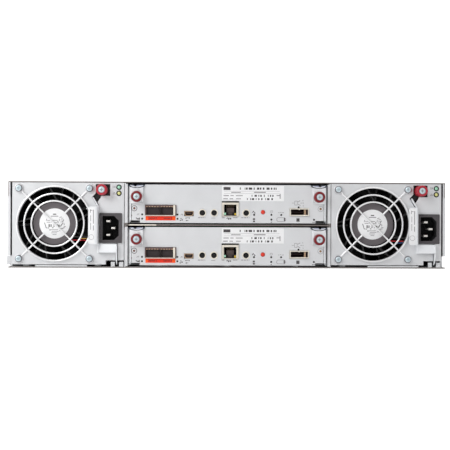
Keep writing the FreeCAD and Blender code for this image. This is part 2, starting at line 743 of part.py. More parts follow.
def guard_screws(side):
    """Domed screws through the guard's eyes into the fan."""
    left = power_left[side]
    x, z = left + fan_offset, power_low + power_height / 2
    corner = fan_hole_pitch / 2
    head_y = y_rear - 2 * guard_wire
    found = []
    for sx in (-1, 1):
        for sz in (-1, 1):
            px, pz = x + sx * corner, z + sz * corner
            head = Part.makeCone(2.3, 3.5, 2.0, V(px, head_y - 2.2, pz), V(0, 1, 0))
            rim = across(px, pz, 3.7, head_y - 0.25, head_y)
            shank = across(px, pz, 1.75, head_y - 0.3, y_rear + 9.0)
            recess = joined([box(px - 1.5, px + 1.5, head_y - 3, head_y - 1.2, pz - 0.35, pz + 0.35),
                             box(px - 0.35, px + 0.35, head_y - 3, head_y - 1.2, pz - 1.5, pz + 1.5)])
            found.append(joined([head, rim, shank]).cut(recess))
    return found


def power_inlet(side):
    """Three-pole appliance inlet on end, with its blades."""
    x = power_left[side] + inlet_offset
    z, yf = inlet_height, y_rear
    fw, fh, ft = inlet_flange
    bw, bh, bd = inlet_body
    rw, rh, rd = inlet_recess
    flange = box(x - fw / 2, x + fw / 2, yf - ft, yf, z - fh / 2, z + fh / 2)
    flange = soft_edges(flange, 0.8, lambda e: along(e, 1))
    body = box(x - bw / 2, x + bw / 2, yf, yf + bd, z - bh / 2, z + bh / 2)
    c = inlet_chamfer
    side_x, side_z = rw / 2, rh / 2
    recess = slab_y([(x - side_x, z - side_z), (x + side_x - c, z - side_z), (x + side_x, z - side_z + c),
                     (x + side_x, z + side_z - c), (x + side_x - c, z + side_z), (x - side_x, z + side_z)],
                    yf - ft - 1, yf - ft + rd)
    housing = joined([flange, body]).cut(recess)
    blades = []
    long, thick, reach = inlet_blade
    floor = yf - ft + rd
    for row, shift in ((1, -1), (0, 1), (-1, -1)):
        bx = x + shift * inlet_blade_stagger / 2
        bz = z + row * inlet_blade_pitch
        blades.append(box(bx - long / 2, bx + long / 2, floor - reach, floor,
                          bz - thick / 2, bz + thick / 2))
    return [housing] + blades


def captive_screw(x, z, ear_face, cap_y, tip):
    """Cap with a steel core and shank. The cap stands on the ear; the tip stops short of its thread."""
    cap = across(x, z, cap_radius, cap_y, ear_face - 0.2)
    cap = cap.makeChamfer(0.5, [e for e in cap.Edges if abs(e.CenterOfMass.y - cap_y) < 1e-6])
    sleeve = cap.cut(across(x, z, cap_bore, cap_y - 1, ear_face + 1))
    core = across(x, z, cap_bore, cap_y + 0.6, ear_face - 0.2)
    recess = joined([box(x - 1.7, x + 1.7, cap_y, cap_y + 2.2, z - 0.4, z + 0.4),
                     box(x - 0.4, x + 0.4, cap_y, cap_y + 2.2, z - 1.7, z + 1.7)])
    shank = across(x, z, screw_shank, ear_face - 0.3, tip)
    core = joined([core, shank]).cut(recess)
    return [sleeve, core]


def power_lever(side):
    """Bent lever: gripping strip, web, slanted neck with the screw's ear, foot, and arm on its pin."""
    left = power_left[side]
    t = lever_sheet
    yf = y_rear
    g0, g1 = left + grip_left, left + grip_left + grip_width
    front = yf - grip_reach
    # strip and web are one folded sheet
    strip = box(g0, g1, front, front + t, grip_low, grip_high)
    web = box(g1 - t, g1, front, yf - 0.7, grip_low, grip_high)
    fold = joined([strip, web])
    fold = soft_edges(fold, grip_bend - t, lambda e: along(e, 2) and abs(e.CenterOfMass.x - g1 + t) < 0.01
                      and abs(e.CenterOfMass.y - front - t) < 0.01)
    fold = soft_edges(fold, grip_bend, lambda e: along(e, 2) and abs(e.CenterOfMass.x - g1) < 0.01
                      and abs(e.CenterOfMass.y - front) < 0.01)
    fold = soft_edges(fold, 2.2, lambda e: along(e, 1) and abs(e.CenterOfMass.x - g0) < 0.01)
    # neck, bent sideways off the web's head and reaching back through the panel
    long = neck_line()[3]
    ear_back = yf + ear_depth + t
    head = [neck_point(long, t / 2), neck_point(long, -t / 2)]
    outside = [neck_point(-0.9, -t / 2), neck_point(-0.9, t / 2)] + head
    through = [neck_point(1.9, -t / 2), neck_point(1.9, t / 2)] + head
    neck = [slab_y([(left + u, z) for u, z in outside], yf - 3.4, yf - 0.7),
            slab_y([(left + u, z) for u, z in through], yf - 3.4, ear_back)]
    u, z = power_screw_offset, power_screw_height
    ear_outline = [neck_point(5.2, -t / 2), neck_point(5.2, t / 2), (u - 3.1, z - 8.5), (u - 1.7, z - 4.5),
                   (u + 5.2, z - 4.5), (u + 5.2, z + 3.2), (u - 5.4, z + 3.2), (u - 5.4, z - 3.0),
                   neck_point(long, -t / 2)]
    ear = slab_y([(left + u, z) for u, z in ear_outline], yf + ear_depth, ear_back)
    arm_x = left + lever_arm_offset
    heel = yf - foot_reach
    foot = slab_x([(heel, foot_low), (heel - t, foot_low + 0.4), (yf - 2.2 - t, foot_top),
                   (yf - 2.2, foot_top)], g1 - t, arm_x + t / 2)
    stem = box(g1 - t, g1, heel - t, yf - 0.7, foot_low, grip_low + 1)
    py, pz = yf + lever_pivot_depth, lever_pivot_height
    toe = [(py + toe_radius * math.cos(math.radians(a)), pz + toe_radius * math.sin(math.radians(a)))
           for a in (206, 222, 238, 254)]
    arm = slab_x([(heel, foot_low), (heel, foot_top - 1.5), (yf - 2.0, foot_top), (py + 2.8, foot_top - 4),
                  (py + 3.4, pz), (py - 0.6, pz - 3.4)] + toe[::-1], arm_x - t / 2, arm_x + t / 2)
    pin_half = t / 2 + 0.5 + sheet + 0.8
    pin = rod(arm_x - pin_half, py, pz, lever_pivot_radius, 2 * pin_half, (1, 0, 0))
    lever = joined([fold] + neck + [ear, foot, stem, arm, pin])
    hole = across(left + power_screw_offset, power_screw_height, screw_shank + 0.3, yf, yf + 8)
    return [lever.cut(hole)]


def power_screw(side):
    """Captive screw that holds a power module's lever."""
    x = power_left[side] + power_screw_offset
    ear_face = y_rear + ear_depth
    tip = ear_face + lever_sheet + 0.9
    return captive_screw(x, power_screw_height, ear_face, y_rear - power_cap_reach, tip)


def power_lamps(side):
    """Two lamps, each a bezel ring with a domed lens."""
    x = power_left[side] + lamp_offset
    found = []
    for z in lamp_heights:
        ring = across(x, z, lamp_radius, y_rear - 0.5, y_rear + 7.0)
        ring = ring.cut(across(x, z, lens_radius, y_rear - 1, y_rear + 5.0))
        lens = across(x, z, lens_radius, y_rear - 0.2, y_rear + 5.0)
        found += [ring, lens]
    return found


def power_board(side):
    """Converter board on standoffs: transformer, bulk capacitors, heat sinks and the edge connector."""
    left = power_left[side]
    y0, y1 = y_rear + power_board_start, y_back - 3.0
    z0 = power_low + power_board_rise
    x0, x1 = left + power_board_inset, left + power_width - power_board_inset
    solids = [box(x0, x1, y0, y1, z0, z0 + board_thickness)]
    for sx in (x0 + 5, left + power_width - key_width - 8):
        for sy in (y0 + 8, y1 - 8):
            solids.append(rod(sx, sy, power_low + case_wall, standoff_radius,
                              power_board_rise - case_wall, (0, 0, 1)))
    top = z0 + board_thickness
    wide, deep, tall = transformer
    tx, ty = x0 + transformer_place[0], y0 + transformer_place[1]
    solids.append(box(tx, tx + wide, ty, ty + deep, top, top + tall))
    for place in capacitor_places:
        solids.append(rod(x0 + place, y0 + capacitor_depth, top, capacitor_radius,
                          capacitor_height, (0, 0, 1)))
    thick, tall = sink_plate
    for x in (x0 + 8, x1 - 9 - thick):
        solids.append(box(x, x + thick, y0 + sink_ends[0], y1 - sink_ends[1], top, top + tall))
    middle = left + power_width * 0.5
    wide, tall = power_plug
    low = power_plug_height - tall / 2
    solids.append(box(middle - wide / 2, middle + wide / 2, y1 - 24, y_back + 0.7, low, low + tall))
    solids.append(box(middle - wide / 3, middle + wide / 3, y1 - plug_depth, y1 - 8, top, low))
    return solids


# ---- controller module ------------------------------------------------------------------
def panel_openings(z0):
    """Openings in a controller's panel, each as low and high X and Z."""
    return {
        name: (x0, x1, z0 + low, z0 + high)
        for name, (x0, x1, low, high) in (("cage", cage_opening), ("usb", service_opening),
                                          ("network", network_opening), ("expansion", expansion_opening))
    }


def scoop_outline(x, z, inset):
    """Half-lens below a panel's top edge, drawn smaller by an inset; closed a little above the edge."""
    wide, drop = scoop_half - inset, scoop_drop - inset
    turns = [math.pi * k / 12 for k in range(13)]
    curve = [(x - wide * math.cos(a), z - drop * math.sin(a)) for a in turns]
    return curve + [(x + wide, z + 1.0), (x - wide, z + 1.0)]


def controller_panel(which):
    """Folded panel with its openings, screw bosses and side tabs."""
    z0 = controller_level[which]
    yf = y_rear
    w = controller_panel_half
    face = box(-w, w, yf, yf + sheet, z0, z0 + controller_height)
    folds = [box(-w, w, yf, yf + panel_return, z0 + controller_height - sheet, z0 + controller_height),
             box(-w, w, yf, yf + panel_return, z0 + 1.2, z0 + 1.2 + sheet)]
    for s in (-1, 1):
        # boss that takes the captive screw's thread
        folds.append(across(s * thumb_offset, z0 + thumb_rise, 3.7, yf, yf + 5.0))
        # side tab that the tray's wall is joined to, above the latch's pivot
        folds.append(box(s * (w - sheet), s * w, yf, yf + 9.0, z0 + 1.2, z0 + 30.0))
    panel = joined([face] + folds)
    cuts = []
    for x0, x1, za, zb in panel_openings(z0).values():
        cuts.append(box(x0 - port_gap, x1 + port_gap, yf - 1, yf + panel_return + 1,
                        za - port_gap, zb + port_gap))
    for x in jack_offsets:
        cuts.append(across(x, z0 + jack_rise, jack_radius + port_gap, yf - 1, yf + panel_return + 1))
    cuts.append(across(button_offset, z0 + button_rise, button_radius + 0.2, yf - 1, yf + sheet + 1))
    for s in (-1, 1):
        cuts.append(across(s * thumb_offset, z0 + thumb_rise, screw_shank - 0.3, yf + 0.6, yf + 6))
        cuts.append(across(s * thumb_offset, z0 + thumb_rise, screw_shank + 0.4, yf - 1, yf + 0.61))
        # scoop for a fingertip behind the latch's top, and the notch at the lower corner
        scoop = scoop_outline(s * thumb_offset, z0 + controller_height, 0.0)
        cuts.append(slab_y(scoop, yf - 1, yf + panel_return + 1))
        cuts.append(box(s * (w - 8.5), s * (w + 1), yf - 1, yf + panel_return + 4, z0 - 1, z0 + 2.5))
        cuts.append(rod(s * (w - 3), yf + latch_pivot_depth, z0 + latch_pivot_rise,
                        lever_pivot_radius + shaft_clearance, 4, (s, 0, 0)))
    return [less(panel, cuts)]


def controller_tray(which):
    """Open tray behind a controller's panel."""
    z0 = controller_level[which]
    y0 = y_rear + 1.6
    t = 1.0
    w = controller_half
    floor = box(-w, w, y0 + 14, y_back, z0, z0 + t)
    nose = box(-w + 12, w - 12, y_rear + sheet, y0 + 15, z0, z0 + t)
    lip = box(-w + 14, w - 14, y_rear + sheet, y_rear + 4.0, z0, z0 + 1.2)
    walls = [box(s * (w - t), s * w, y0, y_back, z0, z0 + controller_height - 0.6) for s in (-1, 1)]
    back = [box(-w, -tray_gate_half, y_back - t, y_back, z0, z0 + controller_height - 0.6),
            box(tray_gate_half, w, y_back - t, y_back, z0, z0 + controller_height - 0.6)]
    tray = joined([floor, nose, lip] + walls + back)
    cuts = []
    for s in (-1, 1):
        cuts.append(rod(s * (w - 3), y_rear + latch_pivot_depth, z0 + latch_pivot_rise,
                        lever_pivot_radius + shaft_clearance, 5, (s, 0, 0)))
    return [less(tray, cuts)]


def controller_board(which):
    """Main board on standoffs, with its heat sink, memory, reserve-power pack and midplane connector."""
    z0 = controller_level[which]
    zb = z0 + board_rise
    top = zb + board_thickness
    y0, y1 = y_rear + 4.0, y_back - 4.0
    board_half = controller_half - board_inset
    solids = [box(-board_half, board_half, y0 + 6, y1, zb, top)]
    for x in (6 - board_half, 0.0, board_half - 6):
        for y in (y0 + 30, y_back - 20):
            solids.append(rod(x, y, z0 + case_wall, standoff_radius, board_rise - case_wall, (0, 0, 1)))
    cx, cy = cooler_place[0], y0 + cooler_place[1]
    wide = (cooler_fins - 1) * fin_pitch + fin_thickness
    pieces = [box(cx, cx + wide, cy, cy + cooler_depth, top, top + cooler_base)]
    for k in range(cooler_fins):
        fin = cx + fin_pitch * k
        pieces.append(box(fin, fin + fin_thickness, cy, cy + cooler_depth,
                          top + cooler_base, top + cooler_height))
    solids.append(joined(pieces))
    wide, deep, tall = battery
    bx, by = battery_place[0], y0 + battery_place[1]
    solids.append(box(bx, bx + wide, by, by + deep, top, top + tall))
    wide, deep, tall = memory
    for x in memory_places:
        solids.append(box(x, x + wide, y0 + memory_depth, y0 + memory_depth + deep, top, top + tall))
    wide, tall = controller_plug
    solids.append(box(-wide / 2, wide / 2, y1 - plug_depth, y_back + 0.7, top, top + tall + 1))
    return solids


def controller_ports(which):
    """Every connector on the controller's face; each stands on the board and passes through the panel."""
    z0 = controller_level[which]
    yf = y_rear
    top = z0 + board_rise + board_thickness
    openings = panel_openings(z0)
    back = yf + 12.0
    solids = []
    # twin transceiver cage
    x0, x1, za, zb = openings["cage"]
    cage = joined([box(x0, x1, yf - 1.6, yf + cage_depth, za, zb),
                   box(x0 + 1, x1 - 1, back, yf + cage_depth, top, za)])
    wide = (x1 - x0 - 3 * 1.1) / 2
    for k in range(2):
        start = x0 + 1.1 + k * (wide + 1.1)
        cage = cage.cut(box(start, start + wide, yf - 3, yf + cage_depth - cage_back, za + 1.0, zb - 1.2))
    solids.append(cage)
    # small service port
    x0, x1, za, zb = openings["usb"]
    outline = [(x0 + 1.3, za), (x1 - 1.3, za), (x1, za + 1.8), (x1, zb), (x0, zb), (x0, za + 1.8)]
    shell = joined([slab_y(outline, yf - 0.5, yf + 10),
                    box(x0 + 1.5, x1 - 1.5, yf + 7, yf + 10, top, za + 0.5)])
    inner = [(x0 + 1.9, za + 0.6), (x1 - 1.9, za + 0.6), (x1 - 0.6, za + 2.1), (x1 - 0.6, zb - 0.6),
             (x0 + 0.6, zb - 0.6), (x0 + 0.6, za + 2.1)]
    shell = shell.cut(slab_y(inner, yf - 1, yf + 7))
    solids.append(joined([shell, box(x0 + 2.4, x1 - 2.4, yf + 0.8, yf + 8, zb - 2.2, zb - 1.3)]))
    # network socket: shield, and a moulded insert with a stepped throat
    x0, x1, za, zb = openings["network"]
    shield = box(x0, x1, yf - 1.2, yf + 22, za, zb)
    shield = shield.cut(box(x0 + 0.7, x1 - 0.7, yf - 2, yf + 21.3, za + 0.7, zb - 2.4))
    foot = box(x0 + 2, x1 - 2, back, yf + 22, top, za)
    solids.append(joined([shield, foot]))
    cx = (x0 + x1) / 2
    insert = box(x0 + 0.7, x1 - 0.7, yf - 0.2, yf + 21.3, za + 0.7, zb - 2.4)
    throat = joined([box(cx - 6.1, cx + 6.1, yf - 1, yf + 14.5, za + 4.2, zb - 3.2),
                     box(cx - 3.2, cx + 3.2, yf - 1, yf + 14.5, za + 1.2, za + 4.4)])
    solids.append(insert.cut(throat))
    # expansion socket
    x0, x1, za, zb = openings["expansion"]
    shell = joined([box(x0, x1, yf - 1.4, yf + 24, za, zb), box(x0 + 2, x1 - 2, back, yf + 24, top, za)])
    shell = shell.cut(box(x0 + 0.9, x1 - 0.9, yf - 2, yf + 20, za + 1.0, zb - 1.0))
    middle = (za + zb) / 2
    solids.append(joined([shell, box(x0 + 3.2, x1 - 3.2, yf + 8, yf + 20.5, middle - 0.5, middle + 0.5)]))
    # round service jacks
    for x in jack_offsets:
        z = z0 + jack_rise
        barrel = across(x, z, jack_radius, yf - 0.6, yf + 13)
        foot = box(x - 3.5, x + 3.5, yf + 7, yf + 13, top, z)
        bore = across(x, z, jack_radius - jack_wall, yf - 1, yf + 10)
        solids.append(joined([barrel, foot]).cut(bore))
    # switch body behind the button
    solids.append(box(button_offset - 3, button_offset + 3, yf + 5.4, yf + 11, top, z0 + button_rise + 3)
                  .cut(across(button_offset, z0 + button_rise, 1.3, yf + 5, yf + 9)))
    return solids


def controller_button(which):
    """Push button on its stem, kept in by a collar."""
    z = controller_level[which] + button_rise
    cap = across(button_offset, z, button_radius, y_rear - button_travel, y_rear + 2.0)
    collar = across(button_offset, z, button_radius + 1.0, y_rear + sheet + 0.3, y_rear + 2.6)
    stem = across(button_offset, z, 1.2, y_rear + 2.0, y_rear + 7.6)
    return [joined([cap, collar, stem])]


def controller_latch(which, s):
    """Latch plate with its edgewise arm, pivot pin and toe. Built on the right, mirrored for the left."""
    z0 = controller_level[which]
    yf = y_rear
    t = latch_arm
    top = z0 + controller_height
    x_arm = controller_panel_half + 0.5
    ear_y = yf - latch_stand - t
    ear_left = thumb_offset - 6.6
    ear_low, ear_high = z0 + thumb_rise - 7.0, top - scoop_drop + 1.3
    ear = box(ear_left, x_arm + t, ear_y, ear_y + t, ear_low, ear_high)
    ear = soft_edges(ear, 3.0, lambda e: along(e, 1) and abs(e.CenterOfMass.x - ear_left) < 0.01
                     and e.CenterOfMass.z < ear_low + 1)
    # curved ledge through the panel's scoop, closed at the back by a finger plate with a half-round notch
    ledge = slab_y(scoop_outline(thumb_offset, top, 0.9), ear_y, yf + 2.4)
    ledge = ledge.cut(slab_y(scoop_outline(thumb_offset, top, 1.9), ear_y - 1, yf + 1.2))
    ledge = ledge.cut(box(ear_left - 9, x_arm + 9, ear_y - 1, yf + 4, top - 0.5, top + 5))
    ledge = ledge.cut(across(thumb_offset + 1.6, top - 0.6, 1.4, yf, yf + 4))
    py, pz = yf + latch_pivot_depth, z0 + latch_pivot_rise
    arm = slab_x([(ear_y, ear_low + 1), (ear_y, ear_high), (yf - 0.1, ear_high), (yf + 5.0, ear_low),
                  (py + 3.0, pz + 1), (py + 1.6, pz - 3.6), (yf + 1.2, z0 + 1.0), (yf - 0.4, z0 + 2.6),
                  (yf - 0.4, ear_low - 2)],
                 x_arm, x_arm + t)
    pin_start = controller_panel_half - sheet - 0.4
    pin = rod(pin_start, py, pz, lever_pivot_radius, controller_half + 0.3 - pin_start, (1, 0, 0))
    latch = joined([ear, ledge, arm, pin])
    latch = latch.cut(across(thumb_offset, z0 + thumb_rise, screw_shank + 0.3, ear_y - 1, ear_y + t + 1))
    return [latch if s > 0 else mirrored(latch)]


def controller_screw(which, s):
    """Captive screw that holds a controller's latch."""
    ear_face = y_rear - latch_stand - latch_arm
    z = controller_level[which] + thumb_rise
    return captive_screw(s * thumb_offset, z, ear_face, y_rear - controller_cap_reach, y_rear - 0.25)


# ---- drive blank ------------------------------------------------------------------------
def drive_blank(column, row):
    """Moulded cover for an empty bay: slotted face, grip bar, and two arms that ride in the bay."""
    x = column_centres()[column]
    z0 = row_levels()[row] + seat_gap
    half_w = (bay_pitch - cage_wall) / 2 - slide_gap
    high = bay_height - ledge_thickness - 2 * seat_gap
    y1 = y_front + blank_proud
    y0 = y1 - blank_face
    face = box(x - half_w, x + half_w, y0, y1, z0, z0 + high)
    arms = [box(x + s * half_w, x + s * (half_w - blank_arm_thickness), y_front - blank_arm, y1,
                z0, z0 + high - 8) for s in (-1, 1)]
    rails = [box(x - half_w, x + half_w, y0 - 8, y0, z, z + 1.2) for z in (z0, z0 + high - 1.2)]
    grip = box(x + half_w - 22, x + half_w - 8, y1 - 0.5, y_front + blank_grip, z0 + 4, z0 + high - 4)
    grip = soft_edges(grip, 1.2, lambda e: abs(e.CenterOfMass.y - (y_front + blank_grip)) < 0.01)
    pocket = box(x + half_w - 19, x + half_w - 11, y1 + 0.6, y_front + blank_grip + 1,
                 z0 + 7, z0 + high - 7)
    blank = joined([face, grip] + arms + rails)
    cuts = [pocket]
    for k in range(blank_slots):
        sx = x - half_w + 8 + k * blank_slot_pitch
        cuts.append(box(sx, sx + blank_slot_width, y0 - 1, y1 + 1, z0 + 5, z0 + high - 5))
    return [less(blank, cuts)]


def build():
    """Every node's solids by name."""
    nodes = {
        "chassis_tray": chassis_tray(),
        "top_cover": top_cover(),
        "cover_screws": cover_screws(),
        "rack_ears": rack_ears(),
        "bay_dividers": bay_dividers(),
        "drive_cage": drive_cage(),
        "midplane_board": midplane_board(),
        "midplane_connectors": midplane_connectors(),
    }
    for side in ("left", "right"):
        name = side + "_power_"
        nodes[name + "panel"] = power_panel(side)
        nodes[name + "case"] = power_case(side)
        nodes[name + "board"] = power_board(side)
        nodes[name + "fan_frame"] = fan_frame(side)
        nodes[name + "fan_rotor"] = fan_rotor(side)
        nodes[name + "finger_guard"] = finger_guard(side)
        nodes[name + "guard_screws"] = guard_screws(side)
        nodes[name + "inlet"] = power_inlet(side)
        nodes[name + "lever"] = power_lever(side)
        nodes[name + "thumbscrew"] = power_screw(side)
        nodes[name + "lamps"] = power_lamps(side)
    for which in ("lower", "upper"):
        name = which + "_controller_"
        nodes[name + "panel"] = controller_panel(which)
        nodes[name + "tray"] = controller_tray(which)
        nodes[name + "board"] = controller_board(which)
        nodes[name + "ports"] = controller_ports(which)
        nodes[name + "button"] = controller_button(which)
        for label, s in (("left", -1), ("right", 1)):
            nodes[name + "latch_" + label] = controller_latch(which, s)
            nodes[name + "screw_" + label] = controller_screw(which, s)
    for row in range(bay_rows):
        for column in range(bay_columns):
            nodes["drive_blank_r%d_c%d" % (row + 1, column + 1)] = drive_blank(column, row)
    return nodes


os.makedirs("parts", exist_ok=True)
for node, solids in build().items():
    export(node, solids)
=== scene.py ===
"""Dresses the two-unit disk shelf enclosure with its finishes and fine parts, in metres.

The service side faces -Y, the drive side +Y, and the enclosure stands on z = 0.
Places come from the boxes of the enclosure's own pieces; offsets and profiles are in millimetres.
"""

import math

import bpy
from mathutils import Matrix, Vector


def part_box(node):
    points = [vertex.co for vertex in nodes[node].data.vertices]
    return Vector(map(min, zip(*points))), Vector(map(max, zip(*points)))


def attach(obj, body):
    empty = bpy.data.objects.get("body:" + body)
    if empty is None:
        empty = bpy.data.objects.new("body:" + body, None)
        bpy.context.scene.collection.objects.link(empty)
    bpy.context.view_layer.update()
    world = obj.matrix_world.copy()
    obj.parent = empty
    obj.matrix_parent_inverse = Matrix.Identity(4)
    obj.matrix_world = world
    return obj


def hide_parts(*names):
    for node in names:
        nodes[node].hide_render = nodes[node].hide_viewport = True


bl_info = {
    "name": "Disk shelf enclosure",
    "version": (1, 0, 0),
    "blender": (4, 5, 0),
    "location": "View3D > Sidebar > Disk shelf",
    "description": "Dresses the disk shelf enclosure with its finishes and fine parts",
    "category": "Object",
}

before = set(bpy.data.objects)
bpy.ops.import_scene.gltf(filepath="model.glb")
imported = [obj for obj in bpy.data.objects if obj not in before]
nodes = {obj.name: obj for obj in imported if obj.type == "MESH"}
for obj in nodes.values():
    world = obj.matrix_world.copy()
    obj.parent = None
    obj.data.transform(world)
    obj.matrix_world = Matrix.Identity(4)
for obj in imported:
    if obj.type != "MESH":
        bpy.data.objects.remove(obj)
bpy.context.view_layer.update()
MM = 0.001
SIDES = ("left", "right")
LEVELS = ("lower", "upper")


def spot(origin, x, z, forward=0.0):
    """A point so far along, up and forward from an origin, in millimetres."""
    return Vector((origin[0] + x * MM, origin[1] - forward * MM, origin[2] + z * MM))


def centre(node):
    """Middle of a node's box."""
    low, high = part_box(node)
    return (low + high) / 2


# ---- places on the enclosure ----
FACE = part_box("left_power_panel")[0].y                # service faces of the panels
POWER = Vector((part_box("left_power_panel")[0].x, FACE, 0))               # left end of the left power module
CONTROLLER = Vector((0, FACE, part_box("lower_controller_tray")[0].z))     # middle of the lower one's underside
PRINTS = spot(CONTROLLER, -0.8, 0)                    # where its printed marks are measured from
FAN = centre("left_power_finger_guard")
PANEL_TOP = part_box("lower_controller_panel")[1].z
SHELF = (PANEL_TOP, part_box("upper_controller_panel")[0].z)               # heights between the controllers
MOTOR_SEAT = FACE + 2.2 * MM                          # front of the fans' motor seats
LEADS_DEPTH = FACE + 2.0 * MM
POWER_CAP_END, CONTROLLER_CAP_END = FACE + 2.4 * MM, FACE - 2.0 * MM     # backs of the captive screws' caps
LATCH_FRONT, SCOOP_FLOOR = FACE - 1.8 * MM, FACE + 1.0 * MM


def srgb(red, green, blue):
    """Linear colour from values of 0 to 255."""
    return tuple((((c / 255) + 0.055) / 1.055) ** 2.4 if c > 10 else c / 3294.6 for c in (red, green, blue))


def length(label, text, millimetres):
    """A length that the user can change."""
    return bpy.props.FloatProperty(name=label, description=text, default=millimetres * MM, unit="LENGTH", precision=5)


def colour(label, text, *tone):
    """A colour that the user can change, from values of 0 to 255."""
    return bpy.props.FloatVectorProperty(name=label, description=text, default=srgb(*tone), subtype="COLOR",
                                         size=3, min=0.0, max=1.0)


class ShelfSizes(bpy.types.PropertyGroup):
    """Sizes of the fine parts."""

    edge: length("Edge", "Radius of the sheet metal's edges", 0.28)
    guard_wire: length("Guard wire", "Radius of the finger guard's wire", 0.88)
    guard_rings: bpy.props.FloatVectorProperty(name="Guard rings", description="Radii of the guard's rings",
                                               default=(0.023, 0.0303, 0.0378), size=3, unit="LENGTH")
    guard_eye: length("Guard eye", "Radius of the eyes that the guard is screwed down by", 3.7)
    guard_stub: length("Guard stub", "Distance of the two short legs from the fan's axis", 14.5)
    guard_pitch: length("Guard pitch", "Distance between the guard's screws", 71.5)
    motor: length("Motor", "Radius of the fan's motor seat", 21.6)
    sticker: length("Sticker", "Radius of the disc on the fan's motor", 15.4)
    lead: length("Lead", "Radius of a fan lead", 0.48)
    knurl: length("Knurl", "Depth of the grooves round a captive screw's cap", 0.16)
    cap: length("Cap", "Radius of a captive screw's cap", 5.6)
    bore: length("Bore", "Radius of the steel core in a cap", 3.45)
    print_rise: length("Print", "Thickness of printed marks", 0.04)
    label_rise: length("Label", "Thickness of a label", 0.12)
    lamp: length("Lamp", "Radius of a controller's indicator", 1.05)


class ShelfColours(bpy.types.PropertyGroup):
    """Colours of the finishes."""

    zinc: colour("Zinc", "Zinc-plated sheet", 219, 220, 222)
    # the edge tone is rubbed plating with a painted highlight
    zinc_edge: colour("Zinc edge", "Edges where the plating is rubbed", 245, 246, 248)
    # the cut edge tone also stands for painted shade in the dark lines along the cover's, floor's and shelf's edges
    cut_edge: colour("Cut edge", "Sheared edge of the plated sheet", 124, 117, 113)
    bright: colour("Bright steel", "Nickel-plated screws and blades", 206, 209, 214)
    lever: colour("Lever", "Plated levers and latches", 240, 242, 245)
    wire: colour("Wire", "Plated wire of the finger guards", 240, 240, 241)
    black: colour("Black", "Moulded fan", 30, 28, 29)
    inlet: colour("Inlet", "Moulded power inlet", 72, 68, 71)
    motor: colour("Motor", "Moulded seat of the fan's motor", 98, 92, 95)
    red: colour("Red", "Caps of the controllers' screws", 118, 3, 16)
    pink: colour("Pink", "Caps of the power modules' screws", 176, 34, 52)
    core: colour("Core", "Bright steel in the red caps", 206, 220, 226)
    button: colour("Button", "Recessed push button", 222, 50, 22)
    orange: colour("Orange", "Strip below the transceiver cage", 250, 84, 2)
    strip: colour("Strip middle", "Redder middle of the strip", 228, 42, 8)
    copper: colour("Copper", "Tinned copper of the sockets", 196, 164, 134)
    shield: colour("Shield", "Shield of the network socket", 236, 229, 215)
    # the dark inside of a socket is partly painted shade
    socket: colour("Socket", "Dark inside of a socket", 96, 76, 74)
    label: colour("Label", "Printed label stock", 243, 243, 244)
    ink: colour("Ink", "Printed marks", 70, 66, 68)
    green: colour("Green", "Lamp for running", 168, 226, 194)
    yellow: colour("Yellow", "Lamp for a fault", 232, 230, 146)
    amber: colour("Amber", "Small socket lamp", 206, 170, 34)
    laminate: colour("Laminate", "Circuit board", 22, 84, 52)
    blank: colour("Blank", "Moulded covers of the drive side", 52, 53, 56)
    floor: colour("Floor", "Floor and backdrop", 244, 244, 244)


def sizes():
    return bpy.context.scene.shelf_sizes


def tone_of(tone):
    """Linear colour of a named colour, or of values of 0 to 255."""
    return tuple(getattr(bpy.context.scene.shelf_colours, tone)) if isinstance(tone, str) else srgb(*tone)


# ---- modelling helpers ----
def mode(kind):
    bpy.ops.object.mode_set(mode=kind)


def pick(*pieces):
    """Object mode with only these pieces selected, the first one active."""
    if bpy.context.object and bpy.context.object.mode != "OBJECT":
        mode("OBJECT")
    bpy.ops.object.select_all(action="DESELECT")
    for piece in pieces:
        piece.select_set(True)
    if pieces:
        bpy.context.view_layer.objects.active = pieces[0]


def settle(piece, smooth=35):
    """Puts the piece's place into its mesh and smooths its round faces."""
    pick(piece)
    bpy.ops.object.transform_apply(location=True, rotation=True, scale=True)
    bpy.ops.object.shade_smooth_by_angle(angle=math.radians(smooth))
    return piece


def open_all(piece):
    """Opens the piece in edit mode with all of it selected."""
    pick(piece)
    mode("EDIT")
    bpy.ops.mesh.select_all(action="SELECT")


def choose(piece, kind, wanted):
    """Opens the piece in edit mode with only the wanted faces or edges selected."""
    pick(piece)
    mode("EDIT")
    bpy.ops.mesh.select_mode(type=kind)
    bpy.ops.mesh.select_all(action="DESELECT")
    mode("OBJECT")
    for part in (piece.data.polygons if kind == "FACE" else piece.data.edges):
        part.select = wanted(part)
    mode("EDIT")


def outward():
    """Turns every face of the open mesh outwards, closes it and settles the piece."""
    bpy.ops.mesh.select_all(action="SELECT")
    bpy.ops.mesh.normals_make_consistent(inside=False)
    mode("OBJECT")
    return settle(bpy.context.object)


def turned(axis, base, profile, corners=40):
    """A piece turned about Y, closed at both ends. Each step is a radius and a depth behind the base."""
    pick()
    steps = [(radius * MM, base + depth * MM) for radius, depth in profile]
    radius, depth = steps[0]
    bpy.ops.mesh.primitive_circle_add(vertices=corners, radius=radius, fill_type="NGON",
                                      location=(axis[0], depth, axis[1]), rotation=(math.pi / 2, 0, 0))
    open_all(bpy.context.object)
    for wide, far in steps[1:]:
        bpy.ops.mesh.extrude_region_move(TRANSFORM_OT_translate={"value": (0, far - depth, 0)})
        ratio = wide / radius
        bpy.ops.transform.resize(value=(ratio, 1, ratio), center_override=(axis[0], far, axis[1]))
        radius, depth = wide, far
    return outward()


def cube(middle, size, turn=(0, 0, 0)):
    """A cube drawn out to a size, turned about its middle by radians."""
    bpy.ops.mesh.primitive_cube_add(size=1, location=middle, scale=size, rotation=turn)
    return bpy.context.object


def block(low, high, edge=0.0):
    """A block between two corners, with its edges bevelled."""
    pick()
    piece = settle(cube([(a + b) / 2 for a, b in zip(low, high)], [abs(b - a) for a, b in zip(low, high)]))
    return soften(piece, edge) if edge else piece


